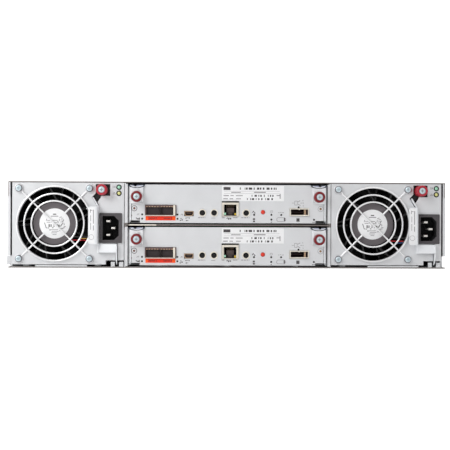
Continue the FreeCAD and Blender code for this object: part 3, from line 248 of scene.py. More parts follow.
def face_block(look, low, high, edge=0.0):
    """A block on the lower controller's face, from corners given as X, height and forward."""
    return painted(block(spot(CONTROLLER, *low), spot(CONTROLLER, *high), edge * MM), look)


def slanted(look, place, size, tilt):
    """A small plate on the lower controller's face, turned about X by degrees."""
    pick()
    return painted(settle(cube(spot(CONTROLLER, *place), [v * MM for v in size], (math.radians(tilt), 0, 0))), look)


def soften(piece, width, segments=2, angle=40):
    """Rounds the piece's sharp edges with an applied bevel."""
    pick(piece)
    bevel = piece.modifiers.new("soft_edges", "BEVEL")
    bevel.width = width
    bevel.segments = segments
    bevel.limit_method = "ANGLE"
    bevel.angle_limit = math.radians(angle)
    bpy.ops.object.modifier_apply(modifier=bevel.name)
    bpy.ops.object.shade_smooth_by_angle(angle=math.radians(35))
    return piece


def carved(piece, cutter):
    """Takes the cutter out of the piece, and the cutter away."""
    pick(piece)
    cut = piece.modifiers.new("cut", "BOOLEAN")
    cut.object = cutter
    cut.operation = "DIFFERENCE"
    bpy.ops.object.modifier_apply(modifier=cut.name)
    bpy.data.objects.remove(cutter)
    return piece


def cross_recess(piece, axis, front, back, narrow):
    """Cuts a driver's cross into a screw's head."""
    arm, half = 1.5 * MM, narrow / 2 * MM
    for wide, tall in ((arm, half), (half, arm)):
        carved(piece, block((axis[0] - wide, front, axis[1] - tall), (axis[0] + wide, back, axis[1] + tall)))


def joined(pieces):
    """Several pieces as one object."""
    if len(pieces) == 1:
        return pieces[0]
    pick(*pieces)
    bpy.ops.object.join()
    return settle(bpy.context.object)


def copied(piece, shift):
    """A copy with its own mesh, moved."""
    twin = bpy.data.objects.new("piece", piece.data.copy())
    bpy.context.scene.collection.objects.link(twin)
    twin.data.transform(Matrix.Translation(shift))
    return twin


def copies(piece, shifts):
    """The piece and its copies, each moved along X and up from it by millimetres."""
    return [piece] + [copied(piece, (x * MM, 0, z * MM)) for x, z in shifts]


def ring(axis, depth, radius, wire, steps=72, corners=10):
    """A closed wire ring about Y."""
    pick()
    bpy.ops.mesh.primitive_circle_add(vertices=corners, radius=wire, fill_type="NOTHING",
                                      location=(axis[0] + radius, depth, axis[1]))
    open_all(bpy.context.object)
    bpy.ops.mesh.spin(steps=steps, angle=2 * math.pi, center=(axis[0], depth, axis[1]), axis=(0, 1, 0))
    bpy.ops.mesh.select_all(action="SELECT")
    bpy.ops.mesh.remove_doubles(threshold=wire * 0.05)
    return outward()


def wire(start, end, radius, corners=10):
    """A straight wire between two points, with rounded ends."""
    pick()
    run = Vector(end) - Vector(start)
    turn = run.to_track_quat("Z", "Y").to_euler()
    bpy.ops.mesh.primitive_cylinder_add(vertices=corners, radius=radius, depth=run.length,
                                        location=(Vector(start) + Vector(end)) / 2, rotation=turn)
    return soften(settle(bpy.context.object), radius * 0.6, 2, 60)


def marks(look, origin, bars):
    """Thin printed bars on a face that looks to -Y.

    The origin is a point of that face. A bar is its middle, width and height from there, and a tilt in
    degrees if it slants.
    """
    pick()
    left, face, low = origin
    rise = sizes().print_rise
    for count, (x, z, wide, tall, *tilt) in enumerate(bars):
        piece = cube((left + x * MM, face - rise / 2, low + z * MM), (wide * MM, rise, tall * MM),
                     (0, math.radians(sum(tilt)), 0))
        if count == 0:
            bpy.ops.object.transform_apply(location=True, rotation=True, scale=True)
            mode("EDIT")
    mode("OBJECT")
    return painted(settle(piece), look)


def recast(node):
    """A merged copy of an enclosure node, free to be shaped further."""
    piece = bpy.data.objects.new("piece", nodes[node].data.copy())
    bpy.context.scene.collection.objects.link(piece)
    piece.data.materials.clear()
    open_all(piece)
    bpy.ops.mesh.remove_doubles(threshold=0.002 * MM)
    bpy.ops.mesh.dissolve_limited(angle_limit=math.radians(0.5))
    mode("OBJECT")
    return settle(piece)


def split(piece):
    """The separate solids of a recast node."""
    open_all(piece)
    bpy.ops.mesh.separate(type="LOOSE")
    mode("OBJECT")
    return list(bpy.context.selected_objects)


def extent(piece):
    """Lowest and highest corner of a settled piece."""
    places = [v.co for v in piece.data.vertices]
    return [Vector([end(p[i] for p in places) for i in range(3)]) for end in (min, max)]


def painted(piece, look):
    """The piece in one finish."""
    piece.data.materials.clear()
    piece.data.materials.append(finish(look))
    return piece


def tinted(piece, look, wanted):
    """The piece with the wanted faces in a further finish."""
    piece.data.materials.append(finish(look))
    index = len(piece.data.materials) - 1
    for face in piece.data.polygons:
        if wanted(face):
            face.material_index = index
    return piece


def inside(low, high, wall, sill, depth):
    """Tells the faces within a mouth, past its side walls and its sill and head, so far behind its front."""
    return lambda face: (low.x + wall < face.center.x < high.x - wall and face.center.y > low.y + depth
                         and low.z + sill < face.center.z < high.z - sill)


def away(face, axis):
    """How far a face's middle lies from an axis along Y."""
    return math.hypot(face.center.x - axis[0], face.center.z - axis[1])


def fit(piece, name, body, slot, *replaced):
    """Names a finished piece, gives it its body, and says which nodes it stands for."""
    piece.name = name
    piece.data.name = name
    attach(piece, body)
    if replaced:
        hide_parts(*replaced)


def on_modules(kind, name, slot, pieces, replaced="", part=""):
    """Fits pieces of the left power module or lower controller as one, and a copy of them on the other one.

    They ride on the module, or on a part of it, and may stand for one of its nodes.
    """
    ends = SIDES if kind == "power" else LEVELS
    body = "_" + (part or "module") if kind == "power" or part else ""
    here, there = [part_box(f"{end}_{kind}_panel")[0] for end in ends]
    piece = joined(pieces)
    for end, each in zip(ends, (piece, copied(piece, there - here))):
        gone = [f"{end}_{kind}_{replaced}"] if replaced else []
        fit(each, f"{end}_{name}", f"{end}_{kind}{body}", slot, *gone)


# ---- shader helpers ----
def shade(tree, kind, sockets=None, **settings):
    """Adds a shader node, sets it and feeds its sockets with values or other nodes' outputs."""
    made = tree.nodes.new("ShaderNode" + kind)
    for key, value in settings.items():
        setattr(made, key, value)
    for key, value in (sockets or {}).items():
        if isinstance(value, bpy.types.NodeSocket):
            tree.links.new(value, made.inputs[key])
        else:
            made.inputs[key].default_value = value
    return made


def reckon(tree, operation, first, second=0.0, clamp=False):
    """Output of a Math node."""
    return shade(tree, "Math", {0: first, 1: second}, operation=operation, use_clamp=clamp).outputs[0]


def times(tree, first, second):
    return reckon(tree, "MULTIPLY", first, second)


def blend_colour(tree, factor, first, second):
    """Output of a colour Mix node."""
    return shade(tree, "Mix", {0: factor, 6: first, 7: second}, data_type="RGBA").outputs[2]


def stretch(tree, value, low, high, to_low=0.0, to_high=1.0):
    """Output of a clamped Map Range node."""
    return shade(tree, "MapRange", {0: value, 1: low, 2: high, 3: to_low, 4: to_high}, clamp=True).outputs[0]


def place(tree, axis=None):
    """Object coordinates, or one of them."""
    whole = shade(tree, "TexCoord").outputs["Object"]
    return whole if axis is None else shade(tree, "SeparateXYZ", {0: whole}).outputs[axis]


def facing(tree, axis):
    """One coordinate of the surface's normal."""
    return shade(tree, "SeparateXYZ", {0: shade(tree, "NewGeometry").outputs["Normal"]}).outputs[axis]


def noise(tree, **sockets):
    """Value of a noise on Object coordinates."""
    return shade(tree, "TexNoise", {"Vector": place(tree), **sockets}).outputs[0]


def group_tree(name, inputs, *outputs):
    """An empty shader group with its sockets: the tree, its inputs and its outputs."""
    tree = bpy.data.node_groups.new(name, "ShaderNodeTree")
    for label, value in inputs.items():
        socket = tree.interface.new_socket(name=label, in_out="INPUT", socket_type="NodeSocketFloat")
        socket.default_value = value
    for label in outputs:
        kind = "NodeSocketVector" if label == "Normal" else "NodeSocketFloat"
        tree.interface.new_socket(name=label, in_out="OUTPUT", socket_type=kind)
    return tree, tree.nodes.new("NodeGroupInput").outputs, tree.nodes.new("NodeGroupOutput").inputs


def surface_grain():
    """Soft mottling with a fine grain over it. The scale is in patches per metre."""
    tree, given, result = group_tree("surface_grain", {"Scale": 60.0, "Grain": 12.0}, "Value", "Height")
    mottle = noise(tree, Scale=given["Scale"], Detail=3.0, Roughness=0.55)
    grain = noise(tree, Scale=times(tree, given["Scale"], given["Grain"]), Detail=2.0)
    wide = times(tree, stretch(tree, mottle, 0.3, 0.7), 0.6)
    tree.links.new(reckon(tree, "ADD", wide, times(tree, grain, 0.4)), result["Value"])
    tree.links.new(grain, result["Height"])
    return tree


def edge_wear():
    """Rounds the edges for the light and marks patches along them to paint lighter: rubbed plating and a painted
    highlight.
    """
    tree, given, result = group_tree("edge_wear", {"Radius": 0.0003, "Patches": 300.0}, "Mask", "Normal")
    rounded = shade(tree, "Bevel", {"Radius": given["Radius"]}, samples=4).outputs[0]
    plain = shade(tree, "NewGeometry").outputs["Normal"]
    agree = shade(tree, "VectorMath", {0: rounded, 1: plain}, operation="DOT_PRODUCT").outputs["Value"]
    patches = noise(tree, Scale=given["Patches"])
    mask = times(tree, stretch(tree, agree, 0.995, 0.86), stretch(tree, patches, 0.35, 0.6))
    tree.links.new(mask, result["Mask"])
    tree.links.new(rounded, result["Normal"])
    return tree


def settled_dust():
    """Marks the upward faces where dust lies."""
    tree, given, result = group_tree("settled_dust", {"Amount": 0.2}, "Mask")
    drift = noise(tree, Scale=22.0, Detail=5.0)
    mask = times(tree, stretch(tree, facing(tree, 2), 0.6, 1.0), stretch(tree, drift, 0.35, 0.75))
    tree.links.new(times(tree, mask, given["Amount"]), result["Mask"])
    return tree


def sheared_edge():
    """Marks the sheet's cut edges on the service side, between two heights, to be painted darker: the cut steel, with
    painted shade in the dark lines along the cover's, floor's and shelf's edges.
    """
    tree, given, result = group_tree("sheared_edge", {"Low": 0.0, "High": 0.001}, "Mask")
    height = place(tree, 2)
    above = reckon(tree, "GREATER_THAN", height, given["Low"])
    edge = times(tree, above, reckon(tree, "LESS_THAN", height, given["High"]))
    tree.links.new(times(tree, edge, reckon(tree, "LESS_THAN", facing(tree, 1), -0.8)), result["Mask"])
    return tree


def sunken():
    """Painted shade: marks what lies just behind the service face, from a start over a depth, and fades past its
    reach, to darken the gaps and openings there.
    """
    tree, given, result = group_tree("sunken", {"Start": 0.0, "Depth": 0.001, "Reach": 0.006}, "Mask")
    past = reckon(tree, "SUBTRACT", place(tree, 1), given["Start"])
    rise = reckon(tree, "DIVIDE", past, given["Depth"], clamp=True)
    beyond = reckon(tree, "SUBTRACT", reckon(tree, "DIVIDE", past, given["Reach"]), 1.0, clamp=True)
    tree.links.new(reckon(tree, "SUBTRACT", rise, beyond, clamp=True), result["Mask"])
    return tree


def effect(tree, maker, **sockets):
    """Outputs of one of the shared groups, built the first time that it is wanted."""
    made = tree.nodes.new("ShaderNodeGroup")
    made.node_tree = bpy.data.node_groups.get(maker.__name__) or maker()
    for key, value in sockets.items():
        made.inputs[key].default_value = value
    return made.outputs


# ---- finishes ----
WHITE, DUST, SHADE = (255, 255, 255), (176, 172, 166), (14, 12, 14)
ROUGHNESS_SPREAD = 0.12
RELIEF = 0.4 * MM
# painted shade behind the service face: where it begins, how deep it grows, and its reach in millimetres
SHADE_START, SHADE_DEPTH, SHADE_REACH = FACE + 1.3 * MM, 1.0 * MM, 6.0      # where the shade behind the face begins
# Tone and lighter edge tone (rubbed plating with a painted highlight), metallic, roughness, patches a metre,
# contrast, bump, edge lightening and dust. Some also have a finer grain, a sharper edge in millimetres, a coat,
# darker sheared edges between two heights (cut steel with painted shade), or painted shade behind the service face.
RED_MOULD = ((196, 60, 74), 0.0, 0.4, 200, 0.12, 0.05, 0.5, 0.02, {"grain": 14, "edge": 0.2})
LENS = (WHITE, 0.0, 0.22, 400, 0.05, 0.0, 0.3, 0.0, {"edge": 0.2, "coat": 0.5})
STUD = ((226, 226, 228), 0.2, 0.5, 300, 0.06, 0.01, 0.3, 0.02, {"edge": 0.1})
SLEEVE = (0.0, 0.45, 300, 0.06, 0.02, 0.0, 0.0, {"edge": 0.1})
FINISHES = {
    # zinc_plate and lever_steel darken to SHADE just behind the service face: painted shade in the gaps, openings and
    # lever windows
    "zinc_plate": ("zinc", "zinc_edge", 0.38, 0.42, 70, 0.025, 0.012, 0.6, 0.1, {"sunk": 0.95}),
    "zinc_chassis": ("zinc", "zinc_edge", 0.38, 0.45, 45, 0.05, 0.02, 0.5, 0.25, {"cut": (0.0, 1.3 * MM)}),
    "zinc_cover": ("zinc", "zinc_edge", 0.38, 0.45, 45, 0.05, 0.02, 0.3, 0.35, {"cut": (0.0, 1.0)}),
    "zinc_shelf": ("zinc", "zinc_edge", 0.38, 0.45, 45, 0.05, 0.02, 0.4, 0.3, {"cut": SHELF}),
    "bright_steel": ("bright", WHITE, 0.75, 0.34, 160, 0.05, 0.01, 0.5, 0.05),
    "lever_steel": ("lever", WHITE, 0.5, 0.36, 140, 0.04, 0.01, 0.5, 0.05, {"sunk": 0.985, "reach": 30.0}),
    "guard_steel": ("wire", WHITE, 0.5, 0.34, 220, 0.04, 0.01, 0.2, 0.05, {"edge": 0.1}),
    "eye_wire": ((214, 214, 217), (240, 240, 242), 0.4, 0.42, 200, 0.08, 0.01, 0.3, 0.05),
    "screw_rim": ((112, 110, 114), (190, 190, 194), 0.5, 0.42, 200, 0.1, 0.01, 0.3, 0.05),
    "core_steel": ("core", WHITE, 0.3, 0.4, 200, 0.04, 0.01, 0.4, 0.02),
    "core_recess": ((150, 158, 162), (190, 196, 200), 0.2, 0.5, 200, 0.06, 0.02, 0.2, 0.0),
    "blade_tin": ((236, 232, 226), WHITE, 0.15, 0.35, 200, 0.04, 0.02, 0.3, 0.0),
    "tin_plate": ("shield", WHITE, 0.3, 0.36, 240, 0.05, 0.01, 0.5, 0.02, {"edge": 0.15}),
    "tinned_copper": ("copper", (240, 220, 196), 0.5, 0.36, 300, 0.12, 0.02, 0.6, 0.02, {"edge": 0.15}),
    "bare_aluminium": ((176, 179, 182), (220, 222, 224), 0.8, 0.4, 150, 0.06, 0.02, 0.4, 0.2),
    "scoop_shade": ((58, 68, 82), (110, 118, 130), 0.3, 0.45, 200, 0.08, 0.02, 0.3, 0.0, {"edge": 0.1}),
    "scoop_plate": ((196, 200, 220), (220, 222, 236), 0.2, 0.45, 200, 0.04, 0.02, 0.2, 0.0),
    "stud_grey": ((132, 128, 130), *STUD),
    "stud_pale": ((184, 184, 186), *STUD),
    "stud_tan": ((140, 112, 84), *STUD),
    "rust_brown": ((104, 66, 54), (150, 110, 90), 0.0, 0.6, 400, 0.3, 0.1, 0.2, 0.0, {"edge": 0.1}),
    "black_mould": ("black", (70, 68, 70), 0.0, 0.5, 130, 0.15, 0.08, 0.5, 0.04, {"grain": 24}),
    "inlet_mould": ("inlet", (120, 116, 119), 0.0, 0.5, 150, 0.1, 0.06, 0.4, 0.03, {"grain": 22}),
    "rotor_mould": ((20, 19, 20), (52, 50, 52), 0.0, 0.4, 110, 0.2, 0.05, 0.4, 0.08, {"grain": 20}),
    "motor_mould": ("motor", (150, 144, 148), 0.0, 0.5, 140, 0.06, 0.06, 0.4, 0.02, {"grain": 22}),
    "blank_mould": ("blank", (96, 97, 101), 0.0, 0.52, 120, 0.12, 0.1, 0.6, 0.15, {"grain": 26}),
    "pink_mould": ("pink", *RED_MOULD),
    "red_mould": ("red", *RED_MOULD),
    "button_mould": ("button", (240, 120, 90), 0.0, 0.35, 300, 0.08, 0.02, 0.4, 0.0, {"edge": 0.2, "coat": 0.2}),
    "plug_rubber": ((40, 29, 31), (70, 54, 55), 0.0, 0.65, 260, 0.1, 0.05, 0.3, 0.02, {"edge": 0.2}),
    "insert_brown": ((78, 64, 60), (104, 88, 82), 0.0, 0.5, 300, 0.2, 0.04, 0.3, 0.0, {"edge": 0.2}),
    "socket_dark": ("socket", (78, 64, 62), 0.0, 0.6, 260, 0.15, 0.04, 0.3, 0.0, {"edge": 0.15}),
    "socket_black": ((6, 5, 6), (20, 18, 20), 0.0, 0.85, 260, 0.15, 0.02, 0.2, 0.0, {"edge": 0.15}),
    "indicator_dark": ((26, 22, 24), (60, 56, 58), 0.0, 0.45, 400, 0.1, 0.0, 0.2, 0.0, {"edge": 0.2, "coat": 0.3}),
    "green_lens": ("green", *LENS),
    "yellow_lens": ("yellow", *LENS),
    "amber_lens": ("amber", *LENS),
    "label_stock": ("label", WHITE, 0.0, 0.55, 180, 0.012, 0.01, 0.0, 0.03, {"edge": 0.1}),
    "printed_ink": ("ink", "ink", 0.0, 0.5, 900, 0.1, 0.0, 0.0, 0.0, {"edge": 0.1}),
    "pale_ink": ((150, 146, 150), (160, 156, 160), 0.0, 0.5, 900, 0.06, 0.0, 0.0, 0.0, {"edge": 0.1}),
    "orange_strip": ("orange", (255, 140, 80), 0.0, 0.42, 220, 0.05, 0.01, 0.2, 0.0, {"edge": 0.1}),
    "strip_red": ("strip", "strip", 0.0, 0.42, 220, 0.05, 0.01, 0.0, 0.0, {"edge": 0.1}),
    "strip_ink": ((120, 26, 16), (130, 30, 20), 0.0, 0.5, 900, 0.05, 0.0, 0.0, 0.0, {"edge": 0.1}),
    "board_laminate": ("laminate", (96, 128, 92), 0.0, 0.35, 420, 0.3, 0.1, 0.3, 0.1, {"grain": 8, "coat": 0.3}),
    "core_tape": ((196, 150, 60), (214, 180, 110), 0.0, 0.4, 200, 0.1, 0.02, 0.3, 0.1),
    "red_sleeve": ((206, 44, 52), (206, 44, 52), *SLEEVE),
    "yellow_sleeve": ((206, 168, 74), (206, 168, 74), *SLEEVE),
    "blue_sleeve": ((60, 96, 150), (60, 96, 150), *SLEEVE),
}


def finish(name):
    """A finish's material: mottled colour, lighter edges of rubbed plating with a painted highlight, dust and grain,
    from the shared groups.
    """
    ready = bpy.data.materials.get(name)
    if ready:
        return ready
    tone, edge_tone, metallic, rough, scale, contrast, bump, edge_lightening, dust, *rest = FINISHES[name]
    more = rest[0] if rest else {}
    tone, edge_tone = tone_of(tone), tone_of(edge_tone)
    material = bpy.data.materials.new(name)
    material.use_nodes = True
    tree = material.node_tree
    shader = tree.nodes["Principled BSDF"].inputs
    texture = effect(tree, surface_grain, Scale=scale, Grain=more.get("grain", 12.0))
    radius = more["edge"] * MM if "edge" in more else sizes().edge
    edges = effect(tree, edge_wear, Radius=radius, Patches=scale * 5)
    film = effect(tree, settled_dust, Amount=dust)["Mask"]
    dark, light = [(*[min(1.0, c * share) for c in tone], 1.0) for share in (1 - contrast, 1 + contrast)]
    mixed = blend_colour(tree, texture["Value"], dark, light)
    # darker sheared edges: the cut steel, with painted shade in the dark lines along them
    if "cut" in more:
        low, high = more["cut"]
        cut_and_shade_mask = effect(tree, sheared_edge, Low=low, High=high)["Mask"]
        mixed = blend_colour(tree, cut_and_shade_mask, mixed, (*tone_of("cut_edge"), 1.0))
    # lighter edges: rubbed plating and a painted highlight
    mixed = blend_colour(tree, times(tree, edges["Mask"], edge_lightening), mixed, (*edge_tone, 1.0))
    mixed = blend_colour(tree, film, mixed, (*srgb(*DUST), 1.0))
    # painted shade on what lies just behind the service face
    if "sunk" in more:
        behind = effect(tree, sunken, Start=SHADE_START, Depth=SHADE_DEPTH, Reach=more.get("reach", SHADE_REACH) * MM)
        mixed = blend_colour(tree, times(tree, behind["Mask"], more["sunk"]), mixed, (*srgb(*SHADE), 1.0))
    tree.links.new(mixed, shader["Base Color"])
    spread = ROUGHNESS_SPREAD / 2
    roughness = stretch(tree, texture["Value"], 0.2, 0.8, rough - spread, rough + spread)
    roughness = reckon(tree, "ADD", roughness, times(tree, film, 0.3), clamp=True)
    tree.links.new(roughness, shader["Roughness"])
    relief = shade(tree, "Bump", {"Strength": bump, "Distance": RELIEF, "Height": texture["Height"],
                                  "Normal": edges["Normal"]})
    tree.links.new(relief.outputs[0], shader["Normal"])
    shader["Metallic"].default_value = metallic
    shader["Coat Weight"].default_value = more.get("coat", 0.0)
    return material


# ---- printed marks: middle, width, height and tilt ----
DARK_MARKS = (
    (-92.2, 4.6, 2.0, 0.9, 35), (-90.6, 4.0, 1.8, 1.2), (-89.4, 4.3, 0.9, 2.0), (-47.1, 4.5, 1.0, 1.0),
    (-45.9, 3.2, 1.1, 1.5), (-47.7, 2.6, 1.1, 1.1), (-42.0, 5.0, 1.0, 0.9), (-40.4, 5.3, 2.2, 0.5),
    (-38.6, 5.0, 0.9, 1.0), (-41.6, 2.5, 1.0, 1.2), (-40.2, 2.5, 1.2, 0.5), (0.2, 5.0, 1.6, 0.7, -35),
    (1.6, 4.4, 1.2, 1.7), (3.4, 4.6, 1.6, 1.3, 30), (26.4, 11.7, 2.4, 0.6, -60), (27.8, 11.3, 2.2, 0.6, 40),
    (28.4, 10.2, 1.6, 0.5, -20), (27.5, 4.2, 2.2, 1.8), (27.5, 1.9, 2.0, 1.6), (45.3, 1.1, 1.4, 0.8),
    (58.7, 3.9, 1.2, 3.2), (72.6, 3.5, 3.2, 3.4), (89.0, 1.2, 3.6, 0.5), (-97.4, 7.4, 0.9, 1.3),
    (100.2, 7.4, 0.9, 1.3),
)
PALE_MARKS = (
    (-91.6, 8.6, 1.8, 0.5, -60), (-90.2, 8.9, 1.8, 0.5, -60), (-46.9, 8.7, 1.6, 0.5, -60), (-45.8, 8.6, 0.7, 1.6),
    (-28.6, 5.5, 2.2, 0.9), (-26.4, 5.5, 1.2, 0.9), (-24.6, 5.5, 1.2, 0.9), (-22.6, 5.5, 0.6, 1.1),
    (-14.1, 5.1, 4.2, 0.5), (-4.0, 5.5, 2.8, 0.8), (8.3, 5.6, 4.4, 0.7),
    (15.6, 5.6, 2.4, 0.8), (18.4, 5.6, 2.0, 0.8), (20.8, 5.6, 1.4, 0.8), (22.6, 5.6, 0.5, 1.1),
    (44.3, 12.6, 0.7, 0.7), (45.3, 12.6, 0.7, 0.7), (46.3, 12.6, 0.7, 0.7), (44.3, 11.4, 0.7, 0.7),
    (46.3, 11.4, 0.7, 0.7), (45.3, 10.6, 0.7, 0.7), (53.0, 10.9, 1.2, 0.6), (55.0, 11.2, 1.0, 0.8),
    (57.2, 10.9, 1.8, 0.6),
    (55.4, 5.8, 6.4, 0.45), (55.4, 1.9, 6.4, 0.45), (50.9, 3.8, 0.45, 2.4), (59.9, 3.8, 0.45, 2.4),
    (51.5, 5.3, 1.7, 0.45, -45), (59.3, 5.3, 1.7, 0.45, 45), (51.5, 2.3, 1.7, 0.45, 45), (59.3, 2.3, 1.7, 0.45, -45),
    (67.4, 20.8, 2.2, 0.45), (69.2, 20.8, 0.45, 4.4), (70.6, 22.8, 2.4, 0.45), (70.6, 18.8, 2.4, 0.45),
    (71.8, 20.8, 0.45, 4.4), (73.6, 22.6, 3.0, 0.6, -30), (73.8, 19.0, 3.0, 0.6, 30), (76.0, 20.8, 2.0, 0.45),
    (77.6, 23.4, 0.5, 1.3), (77.9, 20.8, 0.5, 1.3), (77.9, 18.0, 0.5, 1.3),
)
FAN_DARK_MARKS = (
    (-5.5, -2.2, 1.2, 3.0), (-3.6, -2.2, 1.0, 2.6), (-0.6, -1.6, 2.0, 0.5), (-0.6, -2.9, 2.0, 0.5),
    (2.6, -2.2, 0.5, 3.2, 25), (4.4, -2.4, 1.4, 2.2), (7.2, -1.2, 0.7, 4.6, 35), (-9.6, -1.0, 0.6, 3.8, -18),
    (0.0, 9.4, 3.4, 1.0), (-3.2, 2.4, 0.6, 2.6, 10), (-8.6, -4.0, 0.6, 2.2, -32), (-6.4, -4.6, 1.6, 0.7),
    (8.8, 3.0, 0.6, 2.4, 30), (9.6, -0.6, 0.5, 2.0, -10), (-1.8, -4.4, 1.4, 0.8), (3.4, 1.6, 0.6, 2.0, -20),
)
FAN_PALE_MARKS = (
    (0.0, 7.4, 7.4, 0.8), (-8.2, 3.6, 0.6, 2.4, 24), (6.0, 6.4, 2.4, 0.6, -24), (10.2, -3.0, 2.2, 0.6),
    (9.4, -4.4, 2.4, 0.6), (4.8, 3.4, 0.6, 2.4, 14), (-4.6, -6.8, 1.6, 0.6), (5.6, -7.4, 2.0, 0.6),
    (-6.0, 3.0, 3.4, 0.6), (0.4, 3.2, 5.0, 0.6), (7.4, 3.6, 2.8, 0.6), (7.6, 5.4, 2.4, 0.6), (7.4, 1.6, 3.0, 0.6),
    (-6.2, 1.2, 4.0, 0.6), (0.2, 1.0, 4.6, 0.6), (-1.0, -6.4, 9.0, 0.6), (0.6, -8.0, 7.0, 0.6),
    (-0.4, -9.6, 6.0, 0.6), (0.0, -11.2, 4.0, 0.6), (7.6, -5.2, 2.8, 0.6),
)
LEVER_MARKS = ((80.2, 57.6, 0.6, 3.4), (81.4, 58.4, 1.8, 0.6), (83.3, 52.0, 0.7, 14.0), (83.3, 40.6, 0.7, 5.0),
               (80.6, 50.4, 0.5, 6.0), (80.6, 42.4, 0.5, 7.0))
POWER_MARKS = ((102.0, 82.5, 0.4, 2.6), (103.0, 82.5, 0.4, 2.6), (104.1, 82.5, 1.0, 1.8),
               (102.6, 76.0, 2.4, 0.4, -55), (104.0, 76.0, 2.4, 0.4, 55), (103.3, 75.1, 2.2, 0.4))
# the label and the circle on a power lever
LEVER_LABEL = ((78.5, 25.0), (84.5, 61.6))
LEVER_CIRCLE, CIRCLE_RADIUS, CIRCLE_LINE = (81.2, 31.4), 2.5 * MM, 0.16 * MM
# a controller's label: its corners, its rows of code as height, bar height and bars, and its pale bars
LABEL = ((-6.2, 22.6, 0), (57.4, 38.2))
CODE_ROWS = ((35.4, 3.0, ((-0.2, 7.0),)),
             (35.4, 2.2, ((13.4, 1.0), (18.2, 0.6), (20.0, 1.8), (23.8, 3.6), (27.6, 1.2), (31.6, 2.4), (34.2, 1.4),
                          (37.2, 1.6), (41.8, 3.0), (45.4, 1.4), (48.2, 1.2), (50.0, 1.0))),
             (28.1, 2.0, ((25.4, 0.8), (29.2, 2.4), (32.4, 0.8), (34.6, 1.4), (38.0, 0.8), (42.0, 0.6), (44.4, 1.2),
                          (46.8, 1.2))),
             (24.7, 2.0, ((20.6, 0.8), (24.0, 0.8), (26.4, 2.2), (29.6, 0.6), (32.4, 1.2), (35.4, 1.4), (39.2, 0.6),
                          (42.0, 2.4), (46.0, 1.6))))
TEXT_BARS = ((-1.0, 28.1, 5.4, 0.9), (5.0, 28.1, 3.4, 0.8), (12.4, 28.1, 7.0, 0.8), (-1.6, 24.9, 4.6, 0.9),
             (4.2, 24.9, 3.6, 0.8), (11.6, 24.9, 5.0, 0.8), (9.0, 31.5, 9.6, 0.8), (33.4, 31.6, 12.0, 1.0),
             (52.2, 28.4, 3.2, 0.9), (25.4, 32.7, 57.0, 0.2), (25.4, 30.3, 57.0, 0.2), (54.2, 27.6, 0.9, 5.0))
# the orange strip and its redder middle
STRIP = ((-84.0, 2.6, 0), (-53.4, 6.9))
STRIP_MIDDLE = ((-81.5, 2.9, 0), (-57.0, 6.6))
STRIP_BARS = (-80.2, -78.8, -77.4, -76.0, -74.7, -65.0, -63.6, -62.2, -60.8, -59.5)
PORT_NUMBERS = ((-72.7, 4.6, 0.4, 1.8), (-73.0, 5.2, 0.6, 0.35, -40), (-57.5, 5.4, 1.0, 0.35),
                (-57.1, 5.0, 0.35, 0.9), (-57.5, 4.6, 1.0, 0.35), (-57.9, 4.2, 0.35, 0.9), (-57.5, 3.8, 1.0, 0.35))
INDICATORS = ((-86.7, 8.6), (-86.7, 4.2), (-50.7, 8.6), (-50.7, 4.2), (27.6, 8.6), (45.3, 8.6), (45.3, 3.8),
              (55.4, 8.6), (73.2, 16.4), (89.0, 3.8))
# ---- what lies in a controller's sockets ----
# middle, outside, inside and wall; the darker inside is partly dark plastic, partly painted shade on the shells'
# inner walls
NETWORK_SOCKET = 2.5
SOCKETS = ((-68.65, "socket_dark", "socket_dark", 0.85), (-39.8, "tinned_copper", "socket_dark", 0.5),
           (-26.1, "tin_plate", "socket_black", 0.7), (-14.1, "tin_plate", "socket_black", 0.7),
           (NETWORK_SOCKET, "tin_plate", "socket_black", 0.6), (18.7, "tin_plate", "socket_black", 0.7),
           (35.9, "black_mould", "socket_black", 0.7), (73.15, "tin_plate", "socket_dark", 0.8))
JACKS = (-26.1, -14.1, 18.7)
JACK_RISE = 10.4
# spring finger and contact: middle, size and tilt
FINGER = ((-82.6, 17.1, 1.3), (1.6, 2.2, 0.35), 52)
CONTACT = ((-1.07, 16.6, -5.0), (0.35, 7.0, 0.3), -24)
CONTACTS, CONTACT_PITCH = 8, 1.02
FINGER_STEPS = (2.75, 5.5, 8.25, 11.0, 14.9, 17.65, 20.4, 23.15, 25.9)
